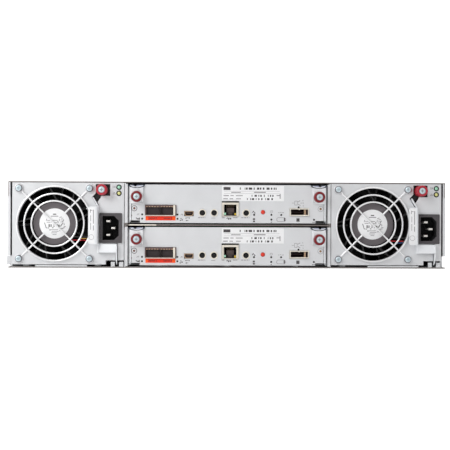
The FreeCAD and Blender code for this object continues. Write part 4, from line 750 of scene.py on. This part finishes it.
# finish, lower and upper corner, and edge
SOCKET_PARTS = (
    # the transceiver cage's dark band behind its fingers, its divider, plugs and bright strips
    ("socket_dark", (-84.1, 16.0, 0), (-55.8, 18.3, 1.62), 0.1),
    ("socket_black", (-69.1, 8.2, 0), (-68.2, 16.6, 1.7), 0.1),
    ("plug_rubber", (-83.2, 8.5, -2.4), (-69.3, 16.9, -0.8), 0.4),
    ("plug_rubber", (-68.0, 8.5, -2.4), (-54.1, 16.9, -0.8), 0.4),
    ("tin_plate", (-55.7, 7.5, 0), (-53.7, 18.2, 1.75), 0.15),
    ("tin_plate", (-84.2, 7.2, 0), (-55.7, 7.8, 1.75), 0.1),
    # the network socket's lip, a black bar of painted shade in the gap over it, its cheeks, stepped insert and lamps
    ("tin_plate", (-5.4, 18.9, 0), (10.4, 20.9, 1.35), 0.2),
    ("socket_black", (-6.1, 21.0, 0), (11.1, 22.2, 1.25), 0.0),
    ("tin_plate", (-5.5, 7.4, 0), (-3.9, 19.0, 0.5), 0.2),
    ("tin_plate", (8.7, 7.4, 0), (10.5, 19.0, 0.5), 0.2),
    ("insert_brown", (-1.5, 10.7, -8), (6.6, 15.8, -3.5), 0.3),
    ("insert_brown", (0.0, 8.1, -8), (5.0, 10.7, -2.5), 0.3),
    ("green_lens", (-3.8, 8.4, -0.5), (-2.0, 10.6, 0.55), 0.2),
    ("amber_lens", (6.6, 8.1, -0.5), (8.5, 10.3, 0.55), 0.2),
    # the expansion socket's contact strip and key, and the service port's tongue
    ("tinned_copper", (78.3, 8.7, -6), (79.9, 14.2, -0.2), 0.15),
    ("tin_plate", (72.6, 13.7, -2), (73.7, 14.6, 1.3), 0.15),
    ("insert_brown", (-42.0, 9.3, -6), (-37.6, 10.3, 0.1), 0.15),
)
# each fan's leads: sleeve, and both ends from the fan's axis
RED_LEAD = ("red_sleeve", 15.6, -16.9, 32.2, -17.1)
LEADS = {"left": (RED_LEAD, ("yellow_sleeve", 26.8, -15.2, 32.8, -15.3)),
         "right": (RED_LEAD, ("blue_sleeve", 25.4, -19.0, 31.6, -18.6))}
# ---- small trim ----
STUDS = ((-95.5, "stud_grey", "rust_brown"), (95.0, "stud_pale", "stud_tan"))        # middle, rim and core
STUD_RISE, STUD_RIM, STUD_CORE = 14.8, 2.2 * MM, 1.18 * MM
# where a latch's finger scoop takes painted shade
SCOOP_DEPTH, SCOOP_REACH = 3.4 * MM, 8.6 * MM
LIP_STARTS, LIP_LENGTH = (-196.0, 143.5), 52.5
INLET_EDGE, INLET_MOUTH = 0.35 * MM, (3.1 * MM, 2.5 * MM, 0.8 * MM)      # the mouth's wall, sill and depth
# past a guard screw's flat its rim takes painted shade; a jack's dark inside is partly painted shade
SCREW_FACE, JACK_MOUTH = 2.75 * MM, 3.02 * MM         # radii of a guard screw's flat and of a jack's dark inside
RING_LIFT = 1.6                                       # how far the guard's rings lie before its legs, in wire radii
# ---- turned profiles: radius, and depth behind the seat or face ----
GUARD_SCREW = ((1.5, -2.2), (2.3, -2.08), (2.9, -1.75), (3.35, -1.15), (3.55, -0.5), (3.7, -0.2), (3.7, 0.0),
               (1.75, 0.0), (1.75, 10.5), (1.4, 10.9))
LAMP_DOME = ((0.5, -0.95), (1.1, -0.8), (1.5, -0.5), (1.7, -0.1), (1.7, 1.5))
JACK_RIM = ((1.7, 3.0), (1.7, 0.9), (3.0, 0.7), (3.0, -0.5), (3.15, -0.75), (3.7, -0.75), (3.95, -0.45), (3.95, 0.1))
BUTTON = ((0.7, 0.0), (1.3, 0.12), (1.8, 0.45), (2.0, 0.95), (2.1, 1.3), (2.1, 2.5), (3.1, 2.5), (3.1, 3.6),
          (1.2, 3.6), (1.2, 8.6))
STUD_PROFILE = ((1.15, -0.06), (1.2, -0.14), (1.4, -0.2), (2.1, -0.2), (2.3, -0.05), (2.6, -0.05), (2.8, -0.22),
                (3.0, -0.12), (3.1, 0.1))


# ---- stage ----
def seen_light(tree, plain, direct, gloss):
    """A light's strength for most rays, for what the camera sees directly, and for what shines in gloss."""
    rays = shade(tree, "LightPath").outputs
    seen = reckon(tree, "MAXIMUM", rays["Is Camera Ray"], rays["Is Transmission Ray"])
    strength = stretch(tree, rays["Is Glossy Ray"], 0, 1, plain, gloss)
    return reckon(tree, "MAXIMUM", strength, times(tree, seen, direct))


def floor_material():
    """Pale floor that keeps shadows and reads as white to the camera."""
    material = bpy.data.materials.get("studio_floor") or bpy.data.materials.new("studio_floor")
    material.use_nodes = True
    tree = material.node_tree
    shader = tree.nodes["Principled BSDF"]
    shader.inputs["Roughness"].default_value = 0.8
    shader.inputs["Base Color"].default_value = (*tone_of("floor"), 1.0)
    glow = shade(tree, "Emission", {"Color": (1.0, 1.0, 1.0, 1.0), "Strength": seen_light(tree, 0.0, 0.9, 0.3)})
    both = shade(tree, "AddShader", {0: shader.outputs[0], 1: glow.outputs[0]})
    tree.links.new(both.outputs[0], tree.nodes["Material Output"].inputs["Surface"])
    return material


def lamp(name, stand, target, width, power):
    """A soft square lamp that looks at a point."""
    pick()
    aim = (Vector(target) - Vector(stand)).to_track_quat("-Z", "Y").to_euler()
    bpy.ops.object.light_add(type="AREA", location=stand, rotation=aim)
    light = bpy.context.object
    light.name = name
    light.data.name = name
    light.data.size = width
    light.data.energy = power


def studio_world():
    """Even pale surroundings, white to the camera."""
    world = bpy.data.worlds.new("studio")
    bpy.context.scene.world = world
    world.use_nodes = True
    background = world.node_tree.nodes["Background"].inputs
    background["Color"].default_value = (1.0, 1.0, 1.0, 1.0)
    world.node_tree.links.new(seen_light(world.node_tree, 0.27, 1.0, 0.55), background["Strength"])


def camera():
    """Level camera behind the service side, a little to the left and turned towards the middle."""
    pick()
    turn = (math.radians(90), math.radians(-0.21), math.radians(-1.41))
    bpy.ops.object.camera_add(location=(-38 * MM, FACE - 950 * MM, 43.5 * MM), rotation=turn)
    view = bpy.context.object
    view.name = "view"
    view.data.angle = math.radians(27.19)
    view.data.shift_x, view.data.shift_y = 0.0254, 0.0012
    view.data.clip_start = 0.01
    bpy.context.scene.camera = view


# ---- operators ----
class SHELF_OT_stage(bpy.types.Operator):
    """Makes the pale floor and backdrop, the studio light and the camera"""

    bl_idname = "shelf.stage"
    bl_label = "Stage"

    def execute(self, context):
        pick()
        bpy.ops.mesh.primitive_plane_add(size=1, location=(0, 0.5, -0.4 * MM), scale=(1, 1, 1))
        floor = context.object
        open_all(floor)
        bpy.ops.transform.resize(value=(9, 7, 1), center_override=(0, 0.5, 0))
        mode("OBJECT")
        settle(floor)
        floor.name = floor.data.name = "floor_and_backdrop"
        corners = floor.data.vertices
        choose(floor, "EDGE", lambda edge: min(corners[v].co.y for v in edge.vertices) > 1.0)
        bpy.ops.mesh.extrude_region_move(TRANSFORM_OT_translate={"value": (0, 0, 5)})
        mode("OBJECT")
        soften(floor, 1.0, 12)
        floor.data.materials.append(floor_material())
        lamp("key_light", (-0.95, -1.15, 0.75), (-0.12, -0.28, 0.04), 0.9, 15.0)
        lamp("fill_light", (1.2, -1.9, 0.9), (0.1, -0.28, 0.04), 1.4, 3.2)
        lamp("top_light", (0.2, 0.5, 1.9), (0.0, 0.0, 0.0), 1.8, 15.5)
        studio_world()
        camera()
        context.scene.view_settings.view_transform = "Standard"
        return {"FINISHED"}


class SHELF_OT_finishes(bpy.types.Operator):
    """Gives every enclosure piece its finish"""

    bl_idname = "shelf.finishes"
    bl_label = "Finishes"

    def execute(self, context):
        looks = {"top_cover": "zinc_cover", "chassis_tray": "zinc_chassis", "bay_dividers": "zinc_shelf",
                 "screw": "bright_steel", "finger_guard": "guard_steel", "lever": "lever_steel",
                 "latch": "lever_steel", "fan_rotor": "rotor_mould", "fan_frame": "black_mould",
                 "inlet": "black_mould", "lamps": "black_mould", "connectors": "black_mould",
                 "drive_blank": "blank_mould", "board": "board_laminate"}
        for name, node in nodes.items():
            look = next((look for key, look in looks.items() if key in name), "zinc_plate")
            for slot in node.material_slots:
                slot.material = finish(look)
        return {"FINISHED"}


class SHELF_OT_guards(bpy.types.Operator):
    """Bends the round wire of the finger guards"""

    bl_idname = "shelf.guards"
    bl_label = "Finger guards"

    def execute(self, context):
        made = sizes()
        legs = FACE - made.guard_wire
        rings = legs - RING_LIFT * made.guard_wire
        axis = (FAN.x, FAN.z)
        pieces = [painted(ring(axis, rings, radius, made.guard_wire), "guard_steel") for radius in made.guard_rings]
        reach = made.guard_pitch / 2
        far = reach - made.guard_eye * math.sqrt(0.5)
        stub = made.guard_stub * math.sqrt(0.5)
        for across in (-1, 1):
            for up in (-1, 1):
                eye = (FAN.x + across * reach, FAN.z + up * reach)
                # the eyes are a slightly darker wire: painted shade round the screws
                pieces.append(painted(ring(eye, legs, made.guard_eye, made.guard_wire, 36), "eye_wire"))
        # one long leg across the rings, and two short ones
        for start, end, fall in ((-far, far, -1), (-stub, -far, 1), (stub, far, 1)):
            ends = [(FAN.x + along, legs, FAN.z + along * fall) for along in (start, end)]
            pieces.append(painted(wire(*ends, made.guard_wire), "guard_steel"))
        on_modules("power", "finger_guard", "bright_steel", pieces, "finger_guard")
        return {"FINISHED"}


class SHELF_OT_guard_screws(bpy.types.Operator):
    """Turns the cross-recessed screws that hold the guards"""

    bl_idname = "shelf.guard_screws"
    bl_label = "Guard screws"

    def execute(self, context):
        made = sizes()
        seat = FACE - 2 * made.guard_wire
        axis = (FAN.x - made.guard_pitch / 2, FAN.z - made.guard_pitch / 2)
        screw = turned(axis, seat, GUARD_SCREW, 32)
        cross_recess(screw, axis, seat - 3 * MM, seat - 1.0 * MM, 0.75)
        # a bright flat with a darker rim round it: painted shade on the head's rounded edge
        tinted(painted(screw, "core_steel"), "screw_rim", lambda face: away(face, axis) > SCREW_FACE)
        pitch = made.guard_pitch / MM
        four = copies(screw, ((0, pitch), (pitch, 0), (pitch, pitch)))
        on_modules("power", "guard_screws", "bright_steel", four, "guard_screws")
        return {"FINISHED"}


class SHELF_OT_fan_motors(bpy.types.Operator):
    """Lays the disc on the fans' motor seats, with its plain marks"""

    bl_idname = "shelf.fan_motors"
    bl_label = "Fan motors"

    def execute(self, context):
        made, axis = sizes(), (FAN.x, FAN.z)
        rim, disc = made.motor / MM, made.sticker / MM
        cap = turned(axis, MOTOR_SEAT, ((rim - 0.7, -0.45), (rim - 0.2, -0.3), (rim, 0.0), (rim, 0.6)), 72)
        sheet = turned(axis, MOTOR_SEAT, ((disc - 0.1, -0.62), (disc, -0.57), (disc, -0.45)), 64)
        origin = spot((FAN.x, MOTOR_SEAT, FAN.z), 0, 0, 0.62)
        on_modules("power", "fan_motor", "black_plastic", [
            painted(cap, "motor_mould"), painted(sheet, "label_stock"),
            marks("printed_ink", origin, FAN_DARK_MARKS), marks("pale_ink", origin, FAN_PALE_MARKS)])
        return {"FINISHED"}


class SHELF_OT_fan_leads(bpy.types.Operator):
    """Runs the fans' leads from the motor to the frame"""

    bl_idname = "shelf.fan_leads"
    bl_label = "Fan leads"

    def execute(self, context):
        for side in SIDES:
            middle = centre(side + "_power_finger_guard")
            middle.y = LEADS_DEPTH
            leads = [painted(wire(spot(middle, *ends[:2]), spot(middle, *ends[2:]), sizes().lead, 12), sleeve)
                     for sleeve, *ends in LEADS[side]]
            fit(joined(leads), side + "_fan_leads", side + "_power_module", "red_plastic")
        return {"FINISHED"}


class SHELF_OT_inlets(bpy.types.Operator):
    """Moulds the appliance inlets round their bright blades"""

    bl_idname = "shelf.inlets"
    bl_label = "Inlets"

    def execute(self, context):
        solids = split(recast("left_power_inlet"))
        housing, *blades = sorted(solids, key=lambda solid: -(extent(solid)[1] - extent(solid)[0]).length)
        soften(housing, INLET_EDGE, 3)
        # the inside of the inlet's mouth is painted near black: painted shade in the recess
        mouth = inside(*extent(housing), *INLET_MOUTH)
        tinted(painted(housing, "inlet_mould"), "socket_black", mouth)
        for blade in blades:
            painted(soften(blade, INLET_EDGE), "blade_tin")
        on_modules("power", "power_inlet", "black_plastic", [housing] + blades, "inlet")
        return {"FINISHED"}


def captive_screw(node, reach, look):
    """A knurled cap round a steel core with a cross recess, and its shank."""
    made = sizes()
    low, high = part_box(node)
    axis = ((low.x + high.x) / 2, (low.z + high.z) / 2)
    front, back = low.y, low.y + reach
    cap, bore, behind, end = [v / MM for v in (made.cap, made.bore, reach, high.y - low.y)]
    sleeve = turned(axis, front, ((bore, 1.2), (bore, 0.3), (bore + 0.3, 0.0), (cap - 0.75, 0.0), (cap - 0.2, 0.25),
                                  (cap, 0.8), (cap, behind - 0.4), (cap - 0.3, behind)), 64)
    grooves = {}
    for face in sleeve.data.polygons:
        middle = face.center
        outer = away(face, axis) > made.cap * 0.985 and front + MM < middle.y < back - 0.5 * MM
        turn = round(math.atan2(middle.z - axis[1], middle.x - axis[0]) / (2 * math.pi) * 64 - 0.5)
        grooves[face.index] = outer and turn % 2 == 0
    choose(sleeve, "FACE", lambda face: grooves[face.index])
    bpy.ops.mesh.inset(thickness=0.07 * MM, depth=-made.knurl, use_individual=True)
    mode("OBJECT")
    painted(settle(sleeve, 30), look)
    core = turned(axis, front, ((bore - 0.5, 0.45), (bore - 0.05, 0.75), (bore - 0.05, 2.5)))
    cross_recess(core, axis, front - 1 * MM, front + 1.0 * MM, 0.7)
    shank = turned(axis, front, ((2.0, behind - 0.5), (2.0, end - 0.4), (1.6, end)), 32)
    # the core's deeper faces, its cross recess, take painted shade
    tinted(painted(core, "core_steel"), "core_recess", lambda face: face.center.y > front + 0.5 * MM)
    return joined([sleeve, core, painted(shank, "bright_steel")])


class SHELF_OT_captive_screws(bpy.types.Operator):
    """Turns the captive screws with their red caps"""

    bl_idname = "shelf.captive_screws"
    bl_label = "Captive screws"

    def execute(self, context):
        node = "left_power_thumbscrew"
        screw = captive_screw(node, POWER_CAP_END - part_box(node)[0].y, "pink_mould")
        on_modules("power", "power_screw", "red_plastic", [screw], "thumbscrew", "thumbscrew")
        node = "lower_controller_screw_left"
        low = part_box(node)[0]
        screw = captive_screw(node, CONTROLLER_CAP_END - low.y, "red_mould")
        twin = copied(screw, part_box("lower_controller_screw_right")[0] - low)
        for side, piece in zip(SIDES, (screw, twin)):
            on_modules("controller", "screw_" + side, "red_plastic", [piece], "screw_" + side, "screw_" + side)
        return {"FINISHED"}


class SHELF_OT_lever_labels(bpy.types.Operator):
    """Lays the blank label with its faint marks on each lever's strip"""

    bl_idname = "shelf.lever_labels"
    bl_label = "Lever labels"

    def execute(self, context):
        rise = 0.12
        base = Vector((POWER.x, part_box("left_power_lever")[0].y, 0))
        low, high = LEVER_LABEL
        label = block(spot(base, *low), spot(base, *high, rise), 0.04 * MM)
        face = spot(base, 0, 0, rise)
        middle = spot(face, *LEVER_CIRCLE)
        circle = ring((middle.x, middle.z), face.y, CIRCLE_RADIUS, CIRCLE_LINE, 40, 6)
        pieces = [painted(label, "label_stock"), marks("pale_ink", face, LEVER_MARKS), painted(circle, "pale_ink")]
        on_modules("power", "lever_label", "bright_steel", pieces, part="lever")
        return {"FINISHED"}


class SHELF_OT_power_lamps(bpy.types.Operator):
    """Sets the two lamps of each power module in their dark bezels, with the marks beside them"""

    bl_idname = "shelf.power_lamps"
    bl_label = "Power lamps"

    def execute(self, context):
        low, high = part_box("left_power_lamps")
        half = (high.x - low.x) / 2
        rim, back = half / MM, (high.y - FACE) / MM
        bezel = ((1.75, 1.5), (1.75, -0.3), (1.95, -0.5), (rim - 0.35, -0.5), (rim, -0.15), (rim, back))
        pieces = []
        for look, z in (("green_lens", high.z - half), ("yellow_lens", low.z + half)):
            axis = ((low.x + high.x) / 2, z)
            pieces.append(painted(turned(axis, FACE, bezel), "black_mould"))
            pieces.append(painted(turned(axis, FACE, LAMP_DOME, 32), look))
        on_modules("power", "power_lamp_pair", "lamp_lens", pieces, "lamps")
        on_modules("power", "power_marks", "zinc_steel", [marks("pale_ink", POWER, POWER_MARKS)])
        return {"FINISHED"}


class SHELF_OT_sockets(bpy.types.Operator):
    """Gives the controllers' sockets their tin, copper and dark plastic"""

    bl_idname = "shelf.sockets"
    bl_label = "Sockets"

    def execute(self, context):
        pieces = split(recast("lower_controller_ports"))
        for solid in pieces:
            low, high = extent(solid)
            x = (low.x + high.x) / 2 / MM
            _, shell, mouth, wall = min(SOCKETS, key=lambda row: abs(row[0] - x))
            # faces inside each mouth take its darker finish: dark plastic, and painted shade on the shells' inner
            # walls
            tinted(painted(solid, shell), mouth, inside(low, high, wall * MM, wall * MM, 0.2 * MM))
            # the network socket's inner block is all dark
            if abs(x - NETWORK_SOCKET) < 1 and high.x - low.x < 16.5 * MM:
                painted(solid, "socket_black")
        # spring fingers over the transceiver mouths
        finger = soften(slanted("tinned_copper", *FINGER), 0.1 * MM)
        pieces += copies(finger, [(step, 0) for step in FINGER_STEPS])
        pieces += [face_block(*part) for part in SOCKET_PARTS]
        contact = slanted("tinned_copper", *CONTACT)
        pieces += copies(contact, [(CONTACT_PITCH * step, 0) for step in range(1, CONTACTS)])
        axis = (CONTROLLER.x + JACKS[0] * MM, CONTROLLER.z + JACK_RISE * MM)
        rim = painted(turned(axis, FACE, JACK_RIM, 48), "tin_plate")
        # the jack's inside is painted near black: its dark plastic with painted shade in the hole
        tinted(rim, "socket_black", lambda face: away(face, axis) < JACK_MOUTH)
        pieces += copies(rim, [(jack - JACKS[0], 0) for jack in JACKS[1:]])
        on_modules("controller", "sockets", "port_metal", pieces, "ports")
        return {"FINISHED"}


class SHELF_OT_buttons(bpy.types.Operator):
    """Turns the controllers' recessed red buttons"""

    bl_idname = "shelf.buttons"
    bl_label = "Buttons"

    def execute(self, context):
        low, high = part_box("lower_controller_button")
        button = turned(((low.x + high.x) / 2, (low.z + high.z) / 2), low.y, BUTTON)
        on_modules("controller", "button", "red_plastic", [painted(button, "button_mould")], "button", "button")
        return {"FINISHED"}


class SHELF_OT_indicators(bpy.types.Operator):
    """Sets the small dark indicators in the controllers' faces"""

    bl_idname = "shelf.indicators"
    bl_label = "Indicators"

    def execute(self, context):
        radius = sizes().lamp / MM
        x, z = INDICATORS[0]
        profile = ((radius * 0.6, -0.16), (radius * 0.9, -0.1), (radius, -0.02), (radius, 0.6))
        dot = painted(turned((PRINTS.x + x * MM, PRINTS.z + z * MM), FACE, profile, 20), "indicator_dark")
        dots = copies(dot, [(u - x, v - z) for u, v in INDICATORS[1:]])
        on_modules("controller", "indicators", "lamp_lens", dots)
        return {"FINISHED"}


class SHELF_OT_labels(bpy.types.Operator):
    """Lays the controllers' labels with plain bars, and the orange strip with its port numbers"""

    bl_idname = "shelf.labels"
    bl_label = "Labels"

    def execute(self, context):
        rise = sizes().label_rise / MM
        plate = face_block("label_stock", LABEL[0], (*LABEL[1], rise), 0.04)
        face = spot(PRINTS, 0, 0, rise)
        code = [(x, z, wide, tall) for z, tall, bars in CODE_ROWS for x, wide in bars]
        on_modules("controller", "label", "zinc_steel",
                   [plate, marks("printed_ink", face, code), marks("pale_ink", face, TEXT_BARS)])
        strip = face_block("orange_strip", STRIP[0], (*STRIP[1], rise), 0.05)
        rise += 0.02
        middle = face_block("strip_red", STRIP_MIDDLE[0], (*STRIP_MIDDLE[1], rise))
        bars = [(x, 4.6, 0.9, 1.3) for x in STRIP_BARS] + list(PORT_NUMBERS)
        numbers = marks("strip_ink", spot(CONTROLLER, 0, 0, rise), bars)
        on_modules("controller", "port_strip", "zinc_steel", [strip, middle, numbers])
        return {"FINISHED"}


class SHELF_OT_prints(bpy.types.Operator):
    """Prints the plain symbols beside the controllers' sockets and indicators"""

    bl_idname = "shelf.prints"
    bl_label = "Prints"

    def execute(self, context):
        on_modules("controller", "panel_marks", "zinc_steel",
                   [marks("printed_ink", PRINTS, DARK_MARKS), marks("pale_ink", PRINTS, PALE_MARKS)])
        return {"FINISHED"}


class SHELF_OT_studs(bpy.types.Operator):
    """Turns the studs clinched into the controllers' faces below their captive screws"""

    bl_idname = "shelf.studs"
    bl_label = "Clinched studs"

    def execute(self, context):
        studs = []
        for x, rim, core in STUDS:
            axis = (CONTROLLER.x + x * MM, CONTROLLER.z + STUD_RISE * MM)
            stud = painted(turned(axis, FACE, STUD_PROFILE), "zinc_plate")
            tinted(stud, rim, lambda face: away(face, axis) > STUD_RIM)
            # a darker brown dot in each stud's middle
            studs.append(tinted(stud, core, lambda face: away(face, axis) < STUD_CORE))
        on_modules("controller", "studs", "bright_steel", studs)
        return {"FINISHED"}


class SHELF_OT_latches(bpy.types.Operator):
    """Paints shade into the finger scoops of the controllers' latches and rounds their edges"""

    bl_idname = "shelf.latches"
    bl_label = "Latches"

    def execute(self, context):
        for side in SIDES:
            x = centre("lower_controller_screw_" + side).x
            latch = painted(recast("lower_controller_latch_" + side), "lever_steel")
            points = latch.data.vertices

            def in_scoop(part):
                corners = [points[index].co for index in part.vertices]
                return (min(p.z for p in corners) > PANEL_TOP - SCOOP_DEPTH
                        and max(abs(p.x - x) for p in corners) < SCOOP_REACH)

            # painted shade: the scoop's rim dark blue-grey, its back plate a darker bluish copy of the latch steel
            tinted(latch, "scoop_shade", lambda part: in_scoop(part) and part.center.y < SCOOP_FLOOR + 0.1 * MM)
            tinted(latch, "scoop_plate", lambda part: in_scoop(part) and part.normal.y < -0.7
                   and part.center.y > SCOOP_FLOOR)
            on_modules("controller", "latch_" + side, "bright_steel", [latch, scoop_rim(x)],
                       "latch_" + side, "latch_" + side)
        return {"FINISHED"}


def scoop_rim(x):
    """A crescent of painted shade round a finger scoop, on the front of its latch."""
    level = PANEL_TOP - 0.5 * MM
    rim = ring((x, level), LATCH_FRONT, 7.6 * MM, 1.0 * MM, 48, 8)
    choose(rim, "FACE", lambda part: True)
    bpy.ops.transform.resize(value=(1, 0.3, 0.36), center_override=(x, LATCH_FRONT, level))
    mode("OBJECT")
    low, high = (x - 12 * MM, LATCH_FRONT - 2 * MM, level), (x + 12 * MM, LATCH_FRONT + 2 * MM, PANEL_TOP + 6 * MM)
    cutter = block(low, high)
    return painted(carved(rim, cutter), "scoop_shade")


class SHELF_OT_floor_lips(bpy.types.Operator):
    """Turns up the rear edge of the chassis floor below the modules, and plates the shelf's end"""

    bl_idname = "shelf.floor_lips"
    bl_label = "Floor lips"

    def execute(self, context):
        edge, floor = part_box("chassis_tray")[0].y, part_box("bay_dividers")[0].z
        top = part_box("left_power_panel")[0].z - 0.7 * MM
        lips = [block((start * MM, edge, floor), ((start + LIP_LENGTH) * MM, edge + 1.0 * MM, top), 0.2 * MM)
                for start in LIP_STARTS]
        fit(painted(joined(lips), "zinc_plate"), "floor_lips", "chassis", "zinc_steel")
        end = Vector((0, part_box("bay_dividers")[0].y, sum(SHELF) / 2))
        strip = block(spot(end, -100.5, -0.65, 0.15), spot(end, -73.0, 0.65, -1.0), 0.1 * MM)
        fit(painted(strip, "tin_plate"), "shelf_strip", "chassis", "zinc_steel")
        return {"FINISHED"}


class SHELF_OT_boards(bpy.types.Operator):
    """Tells the parts on the module boards apart"""

    bl_idname = "shelf.boards"
    bl_label = "Boards"

    def execute(self, context):
        for end, kind in (("left", "power"), ("lower", "controller")):
            pieces = split(recast(f"{end}_{kind}_board"))
            for piece in pieces:
                low, high = extent(piece)
                wide, deep, tall = [v / MM for v in high - low]
                # a part's size in millimetres tells what it is
                if tall < 2 or wide < 4.5 and deep > 100 and tall < 30:
                    look = "board_laminate"
                elif tall < 10 and wide < 5.5:
                    look = "bright_steel"
                elif abs(wide - deep) < 0.5 and wide > 20:
                    look = "socket_black"
                elif abs(tall - 38) < 1:
                    look = "core_tape"
                elif wide < 4 or abs(deep - 50) < 1:
                    look = "bare_aluminium"
                else:
                    look = "black_mould"
                painted(soften(piece, 0.25 * MM, 1), look)
            on_modules(kind, "board", "circuit_board", pieces, "board")
        return {"FINISHED"}


class SHELF_PT_panel(bpy.types.Panel):
    """Lists what dresses the enclosure"""

    bl_idname = "SHELF_PT_panel"
    bl_label = "Disk shelf"
    bl_space_type = "VIEW_3D"
    bl_region_type = "UI"
    bl_category = "Disk shelf"

    def draw(self, context):
        for group in (context.scene.shelf_sizes, context.scene.shelf_colours):
            column = self.layout.column(align=True)
            for key in group.__annotations__:
                column.prop(group, key)
        for operator in OPERATORS:
            self.layout.operator(operator.bl_idname)


OPERATORS = (SHELF_OT_stage, SHELF_OT_finishes, SHELF_OT_guards, SHELF_OT_guard_screws, SHELF_OT_fan_motors,
             SHELF_OT_fan_leads, SHELF_OT_inlets, SHELF_OT_captive_screws, SHELF_OT_lever_labels,
             SHELF_OT_power_lamps, SHELF_OT_sockets, SHELF_OT_buttons, SHELF_OT_indicators, SHELF_OT_labels,
             SHELF_OT_prints, SHELF_OT_studs, SHELF_OT_latches, SHELF_OT_floor_lips, SHELF_OT_boards)
CLASSES = (ShelfSizes, ShelfColours) + OPERATORS + (SHELF_PT_panel,)


def register():
    for kind in CLASSES:
        bpy.utils.register_class(kind)
    bpy.types.Scene.shelf_sizes = bpy.props.PointerProperty(type=ShelfSizes)
    bpy.types.Scene.shelf_colours = bpy.props.PointerProperty(type=ShelfColours)


def unregister():
    del bpy.types.Scene.shelf_colours
    del bpy.types.Scene.shelf_sizes
    for kind in reversed(CLASSES):
        bpy.utils.unregister_class(kind)


def main():
    register()
    for operator in OPERATORS:
        group, call = operator.bl_idname.split(".")
        getattr(getattr(bpy.ops, group), call)()


if __name__ == "__main__":
    main()
